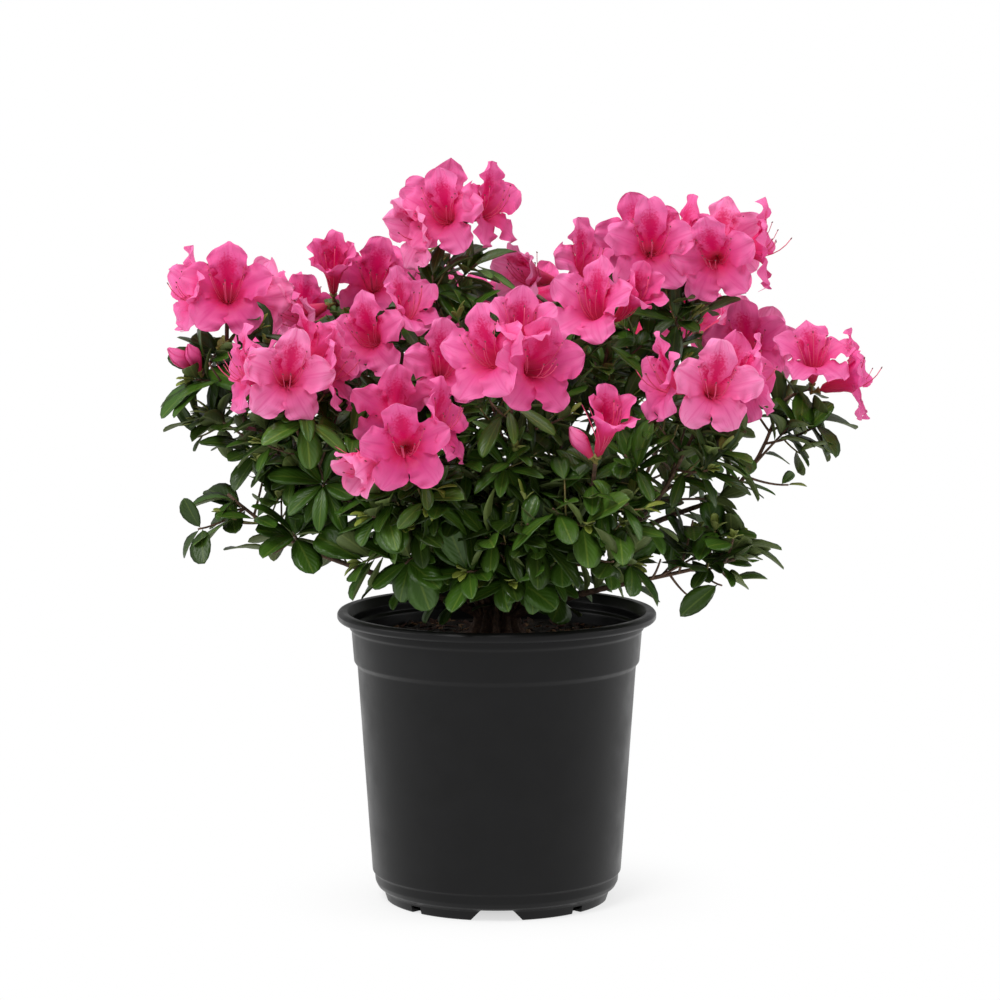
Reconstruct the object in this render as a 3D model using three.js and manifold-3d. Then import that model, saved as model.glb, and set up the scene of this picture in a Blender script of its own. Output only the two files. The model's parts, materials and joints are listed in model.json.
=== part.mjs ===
// Azalea shrub in a black nursery pot, a flowering shrub about 0.5 m wide and tall.
//
// Millimetres, +Z up. The origin is the centre of the pot's flat underside, +X is the shrub's right
// and its front is the -Y side. Every sub-part is one closed solid: the pot, the potting mix, the root
// crown, the boughs, and for each bough a mass of foliage and a spray of blossom.
import * as THREE from 'three';
import { mergeVertices } from 'three/addons/utils/BufferGeometryUtils.js';
import Module from 'manifold-3d';

const wasm = await Module();
wasm.setup();

// Pot: [radius, height] points of the turned profile, and the drain channels and holes under it
const POT = {
  wall: 2.0, facets: 32,
  heel: [[79.4, 0], [81.2, 8.5], [84.4, 18], [86.6, 26.5]],
  wallTop: [98.8, 167.5],
  collar: [[101.2, 170.8], [102.9, 192.5], [104.5, 194.5]],
  lip: [[104.5, 199.4], [111.6, 199.8], [113, 201.4], [113, 204.5], [111.8, 206.1], [110, 206.7]],
  lipInside: [[106, 206.3], [102.5, 199.8]],
};
const FOOT_RADIUS = POT.heel[0][0];
const [HEEL_RADIUS, HEEL_HEIGHT] = POT.heel[3];
const CHANNEL = { count: 4, height: 8, topWidth: 25, bottomWidth: 34, inner: 36, overrun: 1 };
const DRAIN_HOLE = { width: 9, depth: 14, height: 5 };

// Growing medium and the root crown standing on it
const GAP = 0.3;
const MIX = { top: 188, edgeDrop: 3, levelRadius: 36 };
const CROWN = { facets: 12, height: 34, profile: [[30, 0], [27, 2.5], [23, 8], [22, 14], [20, 22], [12, 30]] };

// Limbs. A limb's `sweep` is how far it keeps its first direction, as a share of its length.
const BOUGH = {
  baseRadius: 4.3, forkRadius: 3.1, tipRadius: 2.2, sides: 6, steps: 4, sweep: 0.45,
  startRadius: 10, startHeight: 8.8, startLift: 13.2, forkAlong: 0.3,
};
const STEM = { tipRadius: 1.9, sides: 5, steps: 3, sweep: 0.4 };
const TWIG = {
  radius: 1.5, tipRadius: 1.3, sides: 3, steps: 2, sweep: 0.55, lift: 0.18, startsAt: 3.9, root: 1,
  shortest: 28, longest: 48, trials: [1, 0.75, 0.5], firstAt: 0.1, span: 0.85, scatter: 0.3,
  leastLean: 0.85, mostLean: 1.3,
};
const STALK = { forkAt: 4, radius: 1.6, headRadius: 2.8, headDepth: 1.5, sides: 4, steps: 2, sweep: 0.4 };

// Leaves: elliptic blades, drawn a little larger than life because there are fewer of them
const LEAF = {
  shortest: 40, longest: 56, widthRatio: 0.5, widestAt: 0.54, thickness: 1.3, droop: 0.16, clearance: 0.6,
  root: 0.5, stalk: 7, perTwig: 6, firstAt: 1.2, spacing: 3.6, lowestAt: 0.15, leastLean: 0.9, mostLean: 1.35,
  facesAlong: 0.6, facesUp: 0.8,
};

// Blossom: a funnel of five joined lobes. The bud values are shares of the open blossom's.
const BLOOM = {
  radius: 41, lobes: 5, rings: 3, notch: 0.82, tubeRadius: 5.5, tubeDepth: 15, throatDepth: 20, notchReach: 34,
  lobeReach: 39, budLength: 42, budWaist: 26, budRadius: 0.2, budTube: 0.6, budStretch: 0.25, spreadRate: 1.8,
  leastSize: 0.93, mostSize: 1.01, spin: 0.2, clearance: 0.02,
};
const BLOOM_SIZES = [1, 0.9, 0.8, 0.7];
const GOLDEN_TURN = THREE.MathUtils.degToRad(137.508);
const BLOSSOM_SEED = 310;
const FOLIAGE_SEED = 560;
const SPACE_MIDDLE = 0.6;

const MATERIALS = {
  plastic: new THREE.MeshStandardMaterial({ color: 0x1d1f20, roughness: 0.42, metalness: 0 }),
  mix: new THREE.MeshStandardMaterial({ color: 0x2b1b12, roughness: 0.95, metalness: 0 }),
  bark: new THREE.MeshStandardMaterial({ color: 0x5a4030, roughness: 0.85, metalness: 0 }),
  leaf: new THREE.MeshStandardMaterial({ color: 0x2f5226, roughness: 0.5, metalness: 0 }),
  petal: new THREE.MeshStandardMaterial({ color: 0xe8458c, roughness: 0.6, metalness: 0 }),
};

// Boughs. A bough from the crown leaves it at a turn (degrees, 0 is +X, 270 is the front) and a rise
// (degrees above level). A bough with a parent forks from it at a fraction of its length.
const BOUGHS = {
  low_left: { turn: 200, rise: 24, tip: [-118, -32, 248] },
  far_left: { turn: 168, rise: 44, tip: [-150, -30, 312] },
  low_front_left: { turn: 236, rise: 48, tip: [-42, -70, 262] },
  front_centre: { turn: 268, rise: 62, tip: [4, -66, 288] },
  low_front_right: { turn: 300, rise: 48, tip: [48, -76, 248] },
  low_right: { turn: 334, rise: 22, tip: [98, -50, 234] },
  far_right: { turn: 8, rise: 40, tip: [150, -22, 286] },
  back_right: { turn: 46, rise: 50, tip: [92, 80, 278] },
  back_centre: { turn: 90, rise: 52, tip: [-4, 98, 274] },
  back_left: { turn: 132, rise: 50, tip: [-90, 80, 278] },
  crown_top: { turn: 150, rise: 82, tip: [-30, 0, 340] },
  right_crown: { turn: 330, rise: 70, tip: [98, -12, 340] },
  mid_left: { parent: 'far_left', at: 0.5, tip: [-112, -56, 300] },
  left_shoulder: { parent: 'back_left', at: 0.4, tip: [-84, 38, 326] },
  centre_left: { parent: 'crown_top', at: 0.42, tip: [-50, -30, 310] },
  low_centre: { parent: 'front_centre', at: 0.3, tip: [12, -58, 244] },
  centre_right: { parent: 'right_crown', at: 0.42, tip: [56, -28, 318] },
  back_crown: { parent: 'back_centre', at: 0.42, tip: [24, 48, 322] },
  right_mid: { parent: 'far_right', at: 0.5, tip: [108, -68, 290] },
  low_back: { parent: 'back_right', at: 0.35, tip: [26, 92, 240] },
};

// Masses. Each grows from its bough's tip: its stem runs on to `stem`, its leaves keep inside an ellipsoid
// of `space` half sizes round the stem, and `trusses` are its flower heads. A truss has the point that
// its blossoms radiate from, and for each blossom the way it faces (turn from the front towards +X, and
// tilt above level, in degrees) with how far it is open, from 0 for a bud to 1.
const MASSES = {
  far_left: {
    stem: [-187, -28, 392], space: [62, 60, 62], twigs: 7,
    trusses: [
      { base: [-186, -25, 428], blossoms: [[2, 12, 1], [-66, 8, 1]] },
      { base: [-204, -46, 377], blossoms: [[-60, 38, 0.05]] },
    ],
  },
  mid_left: {
    stem: [-141, -84, 352], space: [58, 56, 56], twigs: 5,
    trusses: [{ base: [-143, -92, 380], blossoms: [[6, -2, 1], [-70, 2, 0.95], [110, 30, 0.9]] }],
  },
  low_left: { stem: [-187, -42, 294], space: [74, 60, 56], twigs: 9, trusses: [] },
  left_shoulder: {
    stem: [-103, 48, 394], space: [56, 56, 60], twigs: 5,
    trusses: [
      { base: [-116, 34, 424], blossoms: [[-75, 66, 0.8]] },
      { base: [-88, 62, 430], blossoms: [[2, 44, 0.95], [160, 20, 0.9]] },
    ],
  },
  centre_left: {
    stem: [-66, -46, 372], space: [54, 54, 54], twigs: 5,
    trusses: [
      { base: [-76, -36, 402], blossoms: [[-26, 0, 0.95], [50, 44, 0.8]] },
      { base: [-44, -68, 378], blossoms: [[18, 36, 0.85]] },
    ],
  },
  low_front_left: {
    stem: [-59, -122, 316], space: [60, 58, 56], twigs: 8,
    trusses: [{ base: [-62, -142, 345], blossoms: [[0, -8, 1], [72, 26, 0.9], [-72, 26, 0.9]] }],
  },
  crown_top: {
    stem: [-41, 4, 446], space: [58, 58, 66], twigs: 6,
    trusses: [
      { base: [-34, 4, 480], blossoms: [[-8, 8, 1], [68, 14, 1], [-130, 34, 0.95]] },
      { base: [-26, 56, 434], blossoms: [[160, 24, 0.9]] },
    ],
  },
  front_centre: {
    stem: [10, -110, 362], space: [56, 54, 58], twigs: 6,
    trusses: [{ base: [12, -126, 392], blossoms: [[-34, 10, 1], [36, -4, 1], [10, 76, 0.85]] }],
  },
  low_centre: { stem: [10, -112, 286], space: [64, 58, 52], twigs: 9, trusses: [] },
  low_front_right: {
    stem: [64, -120, 300], space: [62, 58, 56], twigs: 8,
    trusses: [{ base: [66, -136, 326], blossoms: [[26, 56, 0.5], [-62, 58, 0.05]] }],
  },
  centre_right: {
    stem: [75, -52, 388], space: [54, 54, 58], twigs: 5,
    trusses: [{ base: [78, -66, 412], blossoms: [[-42, 30, 0.85], [58, 34, 0.55]] }],
  },
  back_crown: {
    stem: [42, 66, 406], space: [56, 56, 60], twigs: 5,
    trusses: [
      { base: [46, 66, 434], blossoms: [[92, 44, 0.9], [-62, 34, 0.55]] },
      { base: [16, 96, 428], blossoms: [[178, 22, 1]] },
    ],
  },
  right_crown: {
    stem: [126, -18, 430], space: [60, 58, 62], twigs: 6,
    trusses: [
      { base: [106, -18, 461], blossoms: [[0, 4, 1], [-130, 30, 0.9]] },
      { base: [154, -20, 462], blossoms: [[-8, -20, 0.95], [82, 10, 1]] },
    ],
  },
  right_mid: {
    stem: [136, -102, 348], space: [58, 56, 54], twigs: 5,
    trusses: [{ base: [141, -116, 374], blossoms: [[8, 0, 1], [-70, 6, 0.9], [98, 20, 0.85]] }],
  },
  far_right: {
    stem: [197, -12, 350], space: [62, 60, 62], twigs: 8,
    trusses: [
      { base: [220, -18, 366], blossoms: [[0, 54, 0.95], [80, 8, 1]] },
      { base: [180, 22, 392], blossoms: [[160, 26, 0.9]] },
    ],
  },
  low_right: { stem: [164, -70, 252], space: [66, 58, 52], twigs: 9, trusses: [] },
  back_left: {
    stem: [-127, 114, 360], space: [64, 62, 64], twigs: 6,
    trusses: [
      { base: [-146, 112, 392], blossoms: [[-120, 14, 1], [-50, 30, 0.9]] },
      { base: [-98, 136, 386], blossoms: [[176, 8, 1]] },
    ],
  },
  back_right: {
    stem: [128, 112, 362], space: [64, 62, 64], twigs: 6,
    trusses: [
      { base: [146, 104, 396], blossoms: [[112, 12, 1], [44, 30, 0.9]] },
      { base: [100, 140, 384], blossoms: [[-172, 8, 1]] },
    ],
  },
  back_centre: {
    stem: [-6, 140, 364], space: [62, 60, 64], twigs: 7,
    trusses: [
      { base: [-24, 146, 398], blossoms: [[-150, 14, 1]] },
      { base: [28, 160, 380], blossoms: [[172, 2, 1], [104, 24, 0.95]] },
    ],
  },
  low_back: { stem: [20, 158, 276], space: [72, 62, 56], twigs: 8, trusses: [] },
};

// A seeded generator, so that the shrub grows the same way each time
function seededNumbers(seed) {
  let state = seed >>> 0;
  return () => {
    state = (state + 0x6d2b79f5) >>> 0;
    let mixed = Math.imul(state ^ (state >>> 15), 1 | state);
    mixed = (mixed + Math.imul(mixed ^ (mixed >>> 7), 61 | mixed)) ^ mixed;
    return ((mixed ^ (mixed >>> 14)) >>> 0) / 4294967296;
  };
}

const between = (random, low, high) => low + (high - low) * random();
const vector = (numbers) => new THREE.Vector3(...numbers);

// A unit vector from a turn counted from +X and a rise above level
function heading(turnDegrees, riseDegrees) {
  const turn = THREE.MathUtils.degToRad(turnDegrees);
  const rise = THREE.MathUtils.degToRad(riseDegrees);
  return new THREE.Vector3(Math.cos(turn) * Math.cos(rise), Math.sin(turn) * Math.cos(rise), Math.sin(rise));
}

// A unit vector from a turn counted from the front towards +X and a tilt above level
const facing = (turnDegrees, tiltDegrees) => heading(turnDegrees - 90, tiltDegrees);

// Two unit vectors square to an axis, the second as near to straight up as it can be
function acrossAndUp(axis) {
  const reference = Math.abs(axis.z) < 0.95 ? new THREE.Vector3(0, 0, 1) : new THREE.Vector3(1, 0, 0);
  const across = new THREE.Vector3().crossVectors(axis, reference).normalize();
  return [across, new THREE.Vector3().crossVectors(across, axis).normalize()];
}

// Turns a closed geometry into a solid, with its faces pointing out
function solidOf(geometry) {
  const bare = geometry.clone();
  for (const name of Object.keys(bare.attributes)) {
    if (name !== 'position') bare.deleteAttribute(name);
  }
  const merged = mergeVertices(bare);
  const points = merged.attributes.position;
  const corners = [];
  let volume = 0;
  const [a, b, c] = [new THREE.Vector3(), new THREE.Vector3(), new THREE.Vector3()];
  for (let i = 0; i < merged.index.count; i += 3) {
    const [ia, ib, ic] = [0, 1, 2].map((k) => merged.index.getX(i + k));
    if (ia === ib || ib === ic || ic === ia) continue;
    a.fromBufferAttribute(points, ia);
    b.fromBufferAttribute(points, ib);
    c.fromBufferAttribute(points, ic);
    volume += a.dot(b.cross(c));
    corners.push(ia, ib, ic);
  }
  if (volume < 0) corners.reverse();
  const mesh = new wasm.Mesh({
    numProp: 3, vertProperties: new Float32Array(points.array), triVerts: new Uint32Array(corners),
  });
  return new wasm.Manifold(mesh);
}

// The main body of a solid: a loose scrap is dropped and a sealed hollow is filled
function mainBody(solid) {
  return solid.decompose().reduce((largest, body) => (body.volume() > largest.volume() ? body : largest));
}

const fuse = (pieces) => mainBody(wasm.Manifold.union(pieces));

// A full turn of a profile of [radius, height] points round the Z axis
function turned(profile, facets) {
  const points = profile.map(([radius, height]) => new THREE.Vector2(radius, height));
  return solidOf(new THREE.LatheGeometry(points, facets).rotateX(Math.PI / 2));
}

// A tapering limb: a cylinder bent along a curve. One with a `root` draws in to a point that far behind it,
// inside the limb that carries it.
function limb(curve, baseRadius, tipRadius, sides, steps, root = 0) {
  const geometry = new THREE.CylinderGeometry(tipRadius, baseRadius, 1, sides, steps);
  const frames = curve.computeFrenetFrames(steps, false);
  const points = geometry.attributes.position;
  for (let i = 0; i < points.count; i += 1) {
    const [across, along] = [points.getX(i), points.getZ(i)];
    const step = Math.round((points.getY(i) + 0.5) * steps);
    const place = curve.getPointAt(step / steps);
    place.addScaledVector(frames.normals[step], across);
    place.addScaledVector(frames.binormals[step], along);
    if (step === 0 && Math.hypot(across, along) < baseRadius / 2) place.addScaledVector(frames.tangents[0], -root);
    points.setXYZ(i, place.x, place.y, place.z);
  }
  return solidOf(geometry);
}

// A point on the axis of such a limb, which is straight between its steps
function axisPoint(curve, steps, at) {
  const step = Math.min(Math.floor(at * steps), steps - 1);
  return curve.getPointAt(step / steps).lerp(curve.getPointAt((step + 1) / steps), at * steps - step);
}

// A leaf blade, flat above and keeled below, that droops towards its tip. It narrows to a root sunk just
// past the axis of the twig, which is at `place`.
function leaf(place, along, upper, length, extra = 0) {
  const geometry = new THREE.ConeGeometry(1, 1, 3);
  const across = new THREE.Vector3().crossVectors(upper, along).normalize();
  const normal = new THREE.Vector3().crossVectors(along, across).normalize();
  const halfWidth = (length * LEAF.widthRatio + extra) / 2;
  const triangle = { halfWidth: Math.sin(Math.PI / 3), depth: 1.5 };
  const points = geometry.attributes.position;
  for (let i = 0; i < points.count; i += 1) {
    const isTip = points.getY(i) > 0;
    const isRoot = !isTip && Math.hypot(points.getX(i), points.getZ(i)) < triangle.halfWidth / 2;
    const reach = isTip ? 1 : LEAF.widestAt * !isRoot;
    const point = place.clone().addScaledVector(along, reach * (length + extra) - LEAF.root * isRoot);
    if (!isTip && !isRoot) {
      point.addScaledVector(across, (points.getX(i) * halfWidth) / triangle.halfWidth);
      point.addScaledVector(normal, (-points.getZ(i) * (LEAF.thickness + extra)) / triangle.depth);
    }
    point.addScaledVector(normal, -LEAF.droop * length * reach ** 2);
    points.setXYZ(i, point.x, point.y, point.z);
  }
  return solidOf(geometry);
}

// A blossom: a ball drawn out into a funnel whose rim has five lobes with notches between, and a sunk throat.
// A half open one is a narrow funnel, and a bud is a slim spindle.
function blossom(base, axis, open, scale, spin) {
  const geometry = new THREE.SphereGeometry(1, BLOOM.lobes * 2, BLOOM.rings);
  const [across, up] = acrossAndUp(axis);
  const radius = BLOOM.radius * scale * THREE.MathUtils.lerp(BLOOM.budRadius, 1, open);
  const stretch = scale * (1 + BLOOM.budStretch * (1 - open));
  const tube = BLOOM.tubeRadius * scale * THREE.MathUtils.lerp(BLOOM.budTube, 1, open);
  const halfLobe = Math.PI / BLOOM.lobes;
  const spread = Math.min(1, open * BLOOM.spreadRate);
  const throat = THREE.MathUtils.lerp(BLOOM.budLength, BLOOM.throatDepth, spread);
  const lobeReach = THREE.MathUtils.lerp(BLOOM.budWaist, BLOOM.lobeReach, spread);
  const notchReach = THREE.MathUtils.lerp(BLOOM.budWaist, BLOOM.notchReach, spread);
  const points = geometry.attributes.position;
  for (let i = 0; i < points.count; i += 1) {
    const [x, y, z] = [points.getX(i), points.getY(i), points.getZ(i)];
    const ring = Math.round((Math.acos(THREE.MathUtils.clamp(y, -1, 1)) / Math.PI) * BLOOM.rings);
    const spoke = Math.round((Math.atan2(z, x) + Math.PI) / halfLobe);
    const rim = spoke % 2 === 1 ? [radius * BLOOM.notch, notchReach] : [radius, lobeReach];
    const [out, reach] = [[0, throat], rim, [tube, BLOOM.tubeDepth], [0, 0]][ring];
    const bearing = spoke * halfLobe + spin + Math.PI / 2;
    const point = base.clone().addScaledVector(axis, reach * stretch);
    point.addScaledVector(across, Math.cos(bearing) * out);
    point.addScaledVector(up, Math.sin(bearing) * out);
    points.setXYZ(i, point.x, point.y, point.z);
  }
  return solidOf(geometry);
}

// What already stands, so that a twig, leaf or blossom that would run into it is left out
const standing = [];

function register(owner, pieces) {
  for (const solid of pieces) standing.push({ owner, solid, box: solid.boundingBox() });
}

function touches(owner, solid) {
  const box = solid.boundingBox();
  const apart = (other) => [0, 1, 2].some((k) => other.min[k] > box.max[k] || other.max[k] < box.min[k]);
  return standing.some((item) => (
    item.owner !== owner && !apart(item.box) && !item.solid.intersect(solid).isEmpty()
  ));
}

// Pot
// The inside of the wall, or the mix against it, this far in from the outside
function insideProfile(inset) {
  const corners = [POT.heel[0], POT.heel[2], POT.heel[3], POT.wallTop, ...POT.collar];
  return corners.map(([radius, height]) => [radius - inset, Math.max(height, inset)]);
}

// A radial channel under the floor, wider at the bottom, open through the heel
function drainChannel(turn, extra) {
  const [bottom, top] = [CHANNEL.bottomWidth / 2 + extra, CHANNEL.topWidth / 2 + extra];
  const shape = new THREE.Shape();
  shape.moveTo(-bottom, -CHANNEL.overrun);
  shape.lineTo(bottom, -CHANNEL.overrun);
  shape.lineTo(top, CHANNEL.height + extra);
  shape.lineTo(-top, CHANNEL.height + extra);
  shape.closePath();
  const depth = HEEL_RADIUS - CHANNEL.inner + 2 * extra + CHANNEL.overrun;
  const geometry = new THREE.ExtrudeGeometry(shape, { depth, bevelEnabled: false });
  geometry.rotateX(Math.PI / 2).translate(0, -CHANNEL.inner + extra, 0);
  return solidOf(geometry.rotateZ(turn));
}

// A small drain hole through the heel, between two channels
function drainHole(turn) {
  const geometry = new THREE.BoxGeometry(DRAIN_HOLE.width, DRAIN_HOLE.depth, DRAIN_HOLE.height * 2);
  return solidOf(geometry.translate(0, -FOOT_RADIUS, 0).rotateZ(turn));
}

const channelTurns = Array.from({ length: CHANNEL.count }, (_, i) => (i * 2 * Math.PI) / CHANNEL.count);

function makePot() {
  const outside = [[0, 0], ...POT.heel, POT.wallTop, ...POT.collar, ...POT.lip];
  const inside = [...POT.lipInside, ...insideProfile(POT.wall).reverse(), [0, POT.wall]];
  const shell = turned([...outside, ...inside], POT.facets);
  const envelope = turned([[0, 0], ...POT.heel, [0, HEEL_HEIGHT]], POT.facets);
  const roofs = channelTurns.map((turn) => drainChannel(turn, POT.wall).intersect(envelope));
  const cuts = channelTurns.flatMap((turn) => [drainChannel(turn, 0), drainHole(turn + Math.PI / 4)]);
  return wasm.Manifold.union([shell, ...roofs]).subtract(wasm.Manifold.union(cuts));
}

// The growing medium fills the pot to a little below the rim and is highest round the root crown
function makeMix() {
  const inset = POT.wall + GAP;
  const wall = insideProfile(inset).slice(0, 5);
  const [bead, collarTop] = POT.collar;
  const upTheCollar = (MIX.top - bead[1]) / (collarTop[1] - bead[1]);
  const edge = THREE.MathUtils.lerp(bead[0], collarTop[0], upTheCollar) - inset;
  const top = [[edge, MIX.top - MIX.edgeDrop], [MIX.levelRadius, MIX.top], [0, MIX.top]];
  const fill = turned([[0, inset], ...wall, ...top], POT.facets);
  return fill.subtract(wasm.Manifold.union(channelTurns.map((turn) => drainChannel(turn, inset))));
}

// Root crown: the short foot that every bough leaves from, flat where it stands on the mix
const crownFoot = MIX.top + GAP;

function makeCrown(extra) {
  const profile = CROWN.profile.map(([radius, height]) => [radius + extra, crownFoot + height]);
  return turned([[0, crownFoot], ...profile, [0, crownFoot + CROWN.height + extra]], CROWN.facets);
}

// Boughs: each is one tapering limb on a curve, cut clear of what it grows from
const boughCurves = {};

function boughCurve(name) {
  const { turn, rise, parent, at, tip } = BOUGHS[name];
  const end = vector(tip);
  let start;
  let away;
  if (parent) {
    start = boughCurves[parent].getPointAt(at);
    away = boughCurves[parent].getTangentAt(at).multiplyScalar(BOUGH.forkAlong);
    away.add(end.clone().sub(start).normalize()).normalize();
  } else {
    away = heading(turn, rise);
    start = new THREE.Vector3(away.x, away.y, 0).multiplyScalar(BOUGH.startRadius);
    start.z = crownFoot + BOUGH.startHeight + BOUGH.startLift * away.z;
  }
  const control = start.clone().addScaledVector(away, BOUGH.sweep * start.distanceTo(end));
  return new THREE.QuadraticBezierCurve3(start, control, end);
}

function makeBough(name, extra = 0) {
  const base = BOUGHS[name].parent ? BOUGH.forkRadius : BOUGH.baseRadius;
  return limb(boughCurves[name], base + extra, BOUGH.tipRadius + extra, BOUGH.sides, BOUGH.steps);
}

// A mass's stem carries on from its bough's tip, a small gap away, and its flower stalk from the stem's
function stemCurve(name) {
  const bough = boughCurves[name];
  const away = bough.getTangentAt(1);
  const start = vector(BOUGHS[name].tip).addScaledVector(away, GAP);
  const end = vector(MASSES[name].stem);
  const control = start.clone().addScaledVector(away, STEM.sweep * start.distanceTo(end));
  return new THREE.QuadraticBezierCurve3(start, control, end);
}

// Blossom: a stalk that forks to each flower head, and the blossoms radiating from each head's bud scales
function growBlossom(name, stem, random) {
  const owner = `blossom_${name}`;
  const pieces = [];
  const away = stem.getTangentAt(1);
  const foot = stem.getPointAt(1).addScaledVector(away, GAP);
  for (const [i, { base, blossoms }] of MASSES[name].trusses.entries()) {
    const head = vector(base);
    const start = i === 0 ? foot : foot.clone().addScaledVector(away, STALK.forkAt);
    const control = start.clone().addScaledVector(away, STALK.sweep * start.distanceTo(head));
    const end = head.clone().addScaledVector(head.clone().sub(control).normalize(), STALK.headDepth);
    const curve = new THREE.QuadraticBezierCurve3(start, control, end);
    pieces.push(limb(curve, STALK.radius, STALK.headRadius, STALK.sides, STALK.steps));
    for (const [turn, tilt, open] of blossoms) {
      const spin = between(random, -BLOOM.spin, BLOOM.spin);
      const size = between(random, BLOOM.leastSize, BLOOM.mostSize);
      const grow = (scale) => blossom(head, facing(turn, tilt), open, scale, spin);
      const fits = (scale) => !touches(owner, grow(scale + BLOOM.clearance));
      const scale = BLOOM_SIZES.map((share) => share * size).find(fits);
      if (scale) pieces.push(grow(scale));
    }
  }
  register(owner, pieces);
  return fuse(pieces);
}

// Foliage: leafy twigs by the golden angle round the stem, each with a side leaf and an end whorl
function insideSpace(name, point) {
  const middle = vector(BOUGHS[name].tip).lerp(vector(MASSES[name].stem), SPACE_MIDDLE);
  return point.clone().sub(middle).divide(vector(MASSES[name].space)).length() < 1;
}

function leaningFrom(curve, at, bearing, lean) {
  const along = curve.getTangentAt(at);
  const [across, up] = acrossAndUp(along);
  const out = across.multiplyScalar(Math.cos(bearing)).addScaledVector(up, Math.sin(bearing));
  return along.multiplyScalar(Math.cos(lean)).addScaledVector(out, Math.sin(lean));
}

function twigCurve(stemPoint, away, length) {
  const start = stemPoint.clone().addScaledVector(away, TWIG.startsAt);
  const control = start.clone().addScaledVector(away, TWIG.sweep * length);
  const end = start.clone().addScaledVector(away, length);
  end.z += TWIG.lift * length;
  return new THREE.QuadraticBezierCurve3(start, control, end);
}

const makeTwig = (curve, extra = 0) => (
  limb(curve, TWIG.radius + extra, TWIG.tipRadius + extra, TWIG.sides, TWIG.steps, TWIG.startsAt + TWIG.root)
);

// The longest of a few lengths at which a twig keeps inside its mass's space and clear of all else
function growTwig(name, stem, at, bearing, lean, length) {
  const start = axisPoint(stem, STEM.steps, at);
  const away = leaningFrom(stem, at, bearing, lean);
  const trials = TWIG.trials.map((share) => twigCurve(start, away, length * share));
  return trials.find((trial) => insideSpace(name, trial.v2)
    && !touches(`foliage_${name}`, makeTwig(trial, GAP)));
}

// Adds a leaf, unless it would leave the space, touch another sub-part or cross its own twigs and leaves
function addLeaf(name, own, curve, steps, at, bearing, tilt, length) {
  const place = axisPoint(curve, steps, at);
  const away = leaningFrom(curve, at, bearing, tilt);
  const upper = curve.getTangentAt(at).multiplyScalar(LEAF.facesAlong);
  upper.z += LEAF.facesUp;
  if (!insideSpace(name, place.clone().addScaledVector(away, length))) return;
  if (touches(`foliage_${name}`, leaf(place, away, upper, length, LEAF.clearance))) return;
  const beyondTwig = place.clone().addScaledVector(away, LEAF.stalk);
  const blade = leaf(beyondTwig, away, upper, length - LEAF.stalk);
  if (own.some((piece) => !piece.intersect(blade).isEmpty())) return;
  own.push(leaf(place, away, upper, length));
}

function growFoliage(name, stem, random) {
  const { twigs } = MASSES[name];
  const curves = [stem];
  for (let i = 0; i < twigs; i += 1) {
    const at = TWIG.firstAt + (TWIG.span * (i + 0.5)) / twigs;
    const bearing = i * GOLDEN_TURN + between(random, -TWIG.scatter, TWIG.scatter);
    const lean = between(random, TWIG.leastLean, TWIG.mostLean);
    const length = between(random, TWIG.shortest, TWIG.longest);
    const curve = growTwig(name, stem, at, bearing, lean, length);
    if (curve) curves.push(curve);
  }
  const own = curves.map((curve, i) => (i === 0
    ? limb(curve, BOUGH.tipRadius, STEM.tipRadius, STEM.sides, STEM.steps)
    : makeTwig(curve)));
  for (const [i, curve] of curves.entries()) {
    const steps = i === 0 ? STEM.steps : TWIG.steps;
    const turn = between(random, 0, 2 * Math.PI);
    for (let j = 0; j < LEAF.perTwig; j += 1) {
      const at = 1 - (LEAF.firstAt + j * LEAF.spacing) / curve.getLength();
      const tilt = between(random, LEAF.leastLean, LEAF.mostLean);
      const length = between(random, LEAF.shortest, LEAF.longest);
      if (at > LEAF.lowestAt) addLeaf(name, own, curve, steps, at, turn + j * GOLDEN_TURN, tilt, length);
    }
  }
  register(`foliage_${name}`, own);
  return fuse(own);
}

// The assembly
function part(name, solid, material, origin) {
  const { vertProperties, triVerts } = solid.getMesh();
  const geometry = new THREE.BufferGeometry();
  geometry.setAttribute('position', new THREE.BufferAttribute(new Float32Array(vertProperties), 3));
  geometry.setIndex(new THREE.BufferAttribute(new Uint32Array(triVerts), 1));
  geometry.translate(-origin.x, -origin.y, -origin.z);
  const mesh = new THREE.Mesh(geometry, material);
  mesh.name = name;
  mesh.position.copy(origin);
  return mesh;
}

const shrub = new THREE.Group();
const ground = new THREE.Vector3();
const foot = new THREE.Vector3(0, 0, crownFoot);
const pot = makePot();
const mix = makeMix();
const crown = makeCrown(0);
register('pot', [pot]);
register('mix', [mix]);
register('crown', [crown]);
shrub.add(part('pot', pot, MATERIALS.plastic, ground));
shrub.add(part('potting_mix', mix, MATERIALS.mix, ground));
shrub.add(part('root_crown', crown, MATERIALS.bark, foot));

const names = Object.keys(BOUGHS);
for (const name of names) {
  boughCurves[name] = boughCurve(name);
  const { parent } = BOUGHS[name];
  const bough = mainBody(makeBough(name).subtract(parent ? makeBough(parent, GAP) : makeCrown(GAP)));
  register(`bough_${name}`, [bough]);
  shrub.add(part(`bough_${name}`, bough, MATERIALS.bark, boughCurves[name].v0));
}

const stems = Object.fromEntries(names.map((name) => [name, stemCurve(name)]));
for (const name of names) {
  const stemLimb = limb(stems[name], BOUGH.tipRadius, STEM.tipRadius, STEM.sides, STEM.steps);
  register(`foliage_${name}`, [stemLimb]);
}
for (const [i, name] of names.entries()) {
  if (MASSES[name].trusses.length === 0) continue;
  const spray = growBlossom(name, stems[name], seededNumbers(BLOSSOM_SEED + i));
  shrub.add(part(`blossom_${name}`, spray, MATERIALS.petal, stems[name].v2));
}
for (const [i, name] of names.entries()) {
  const foliage = growFoliage(name, stems[name], seededNumbers(FOLIAGE_SEED + i));
  shrub.add(part(`foliage_${name}`, foliage, MATERIALS.leaf, stems[name].v0));
}

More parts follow.
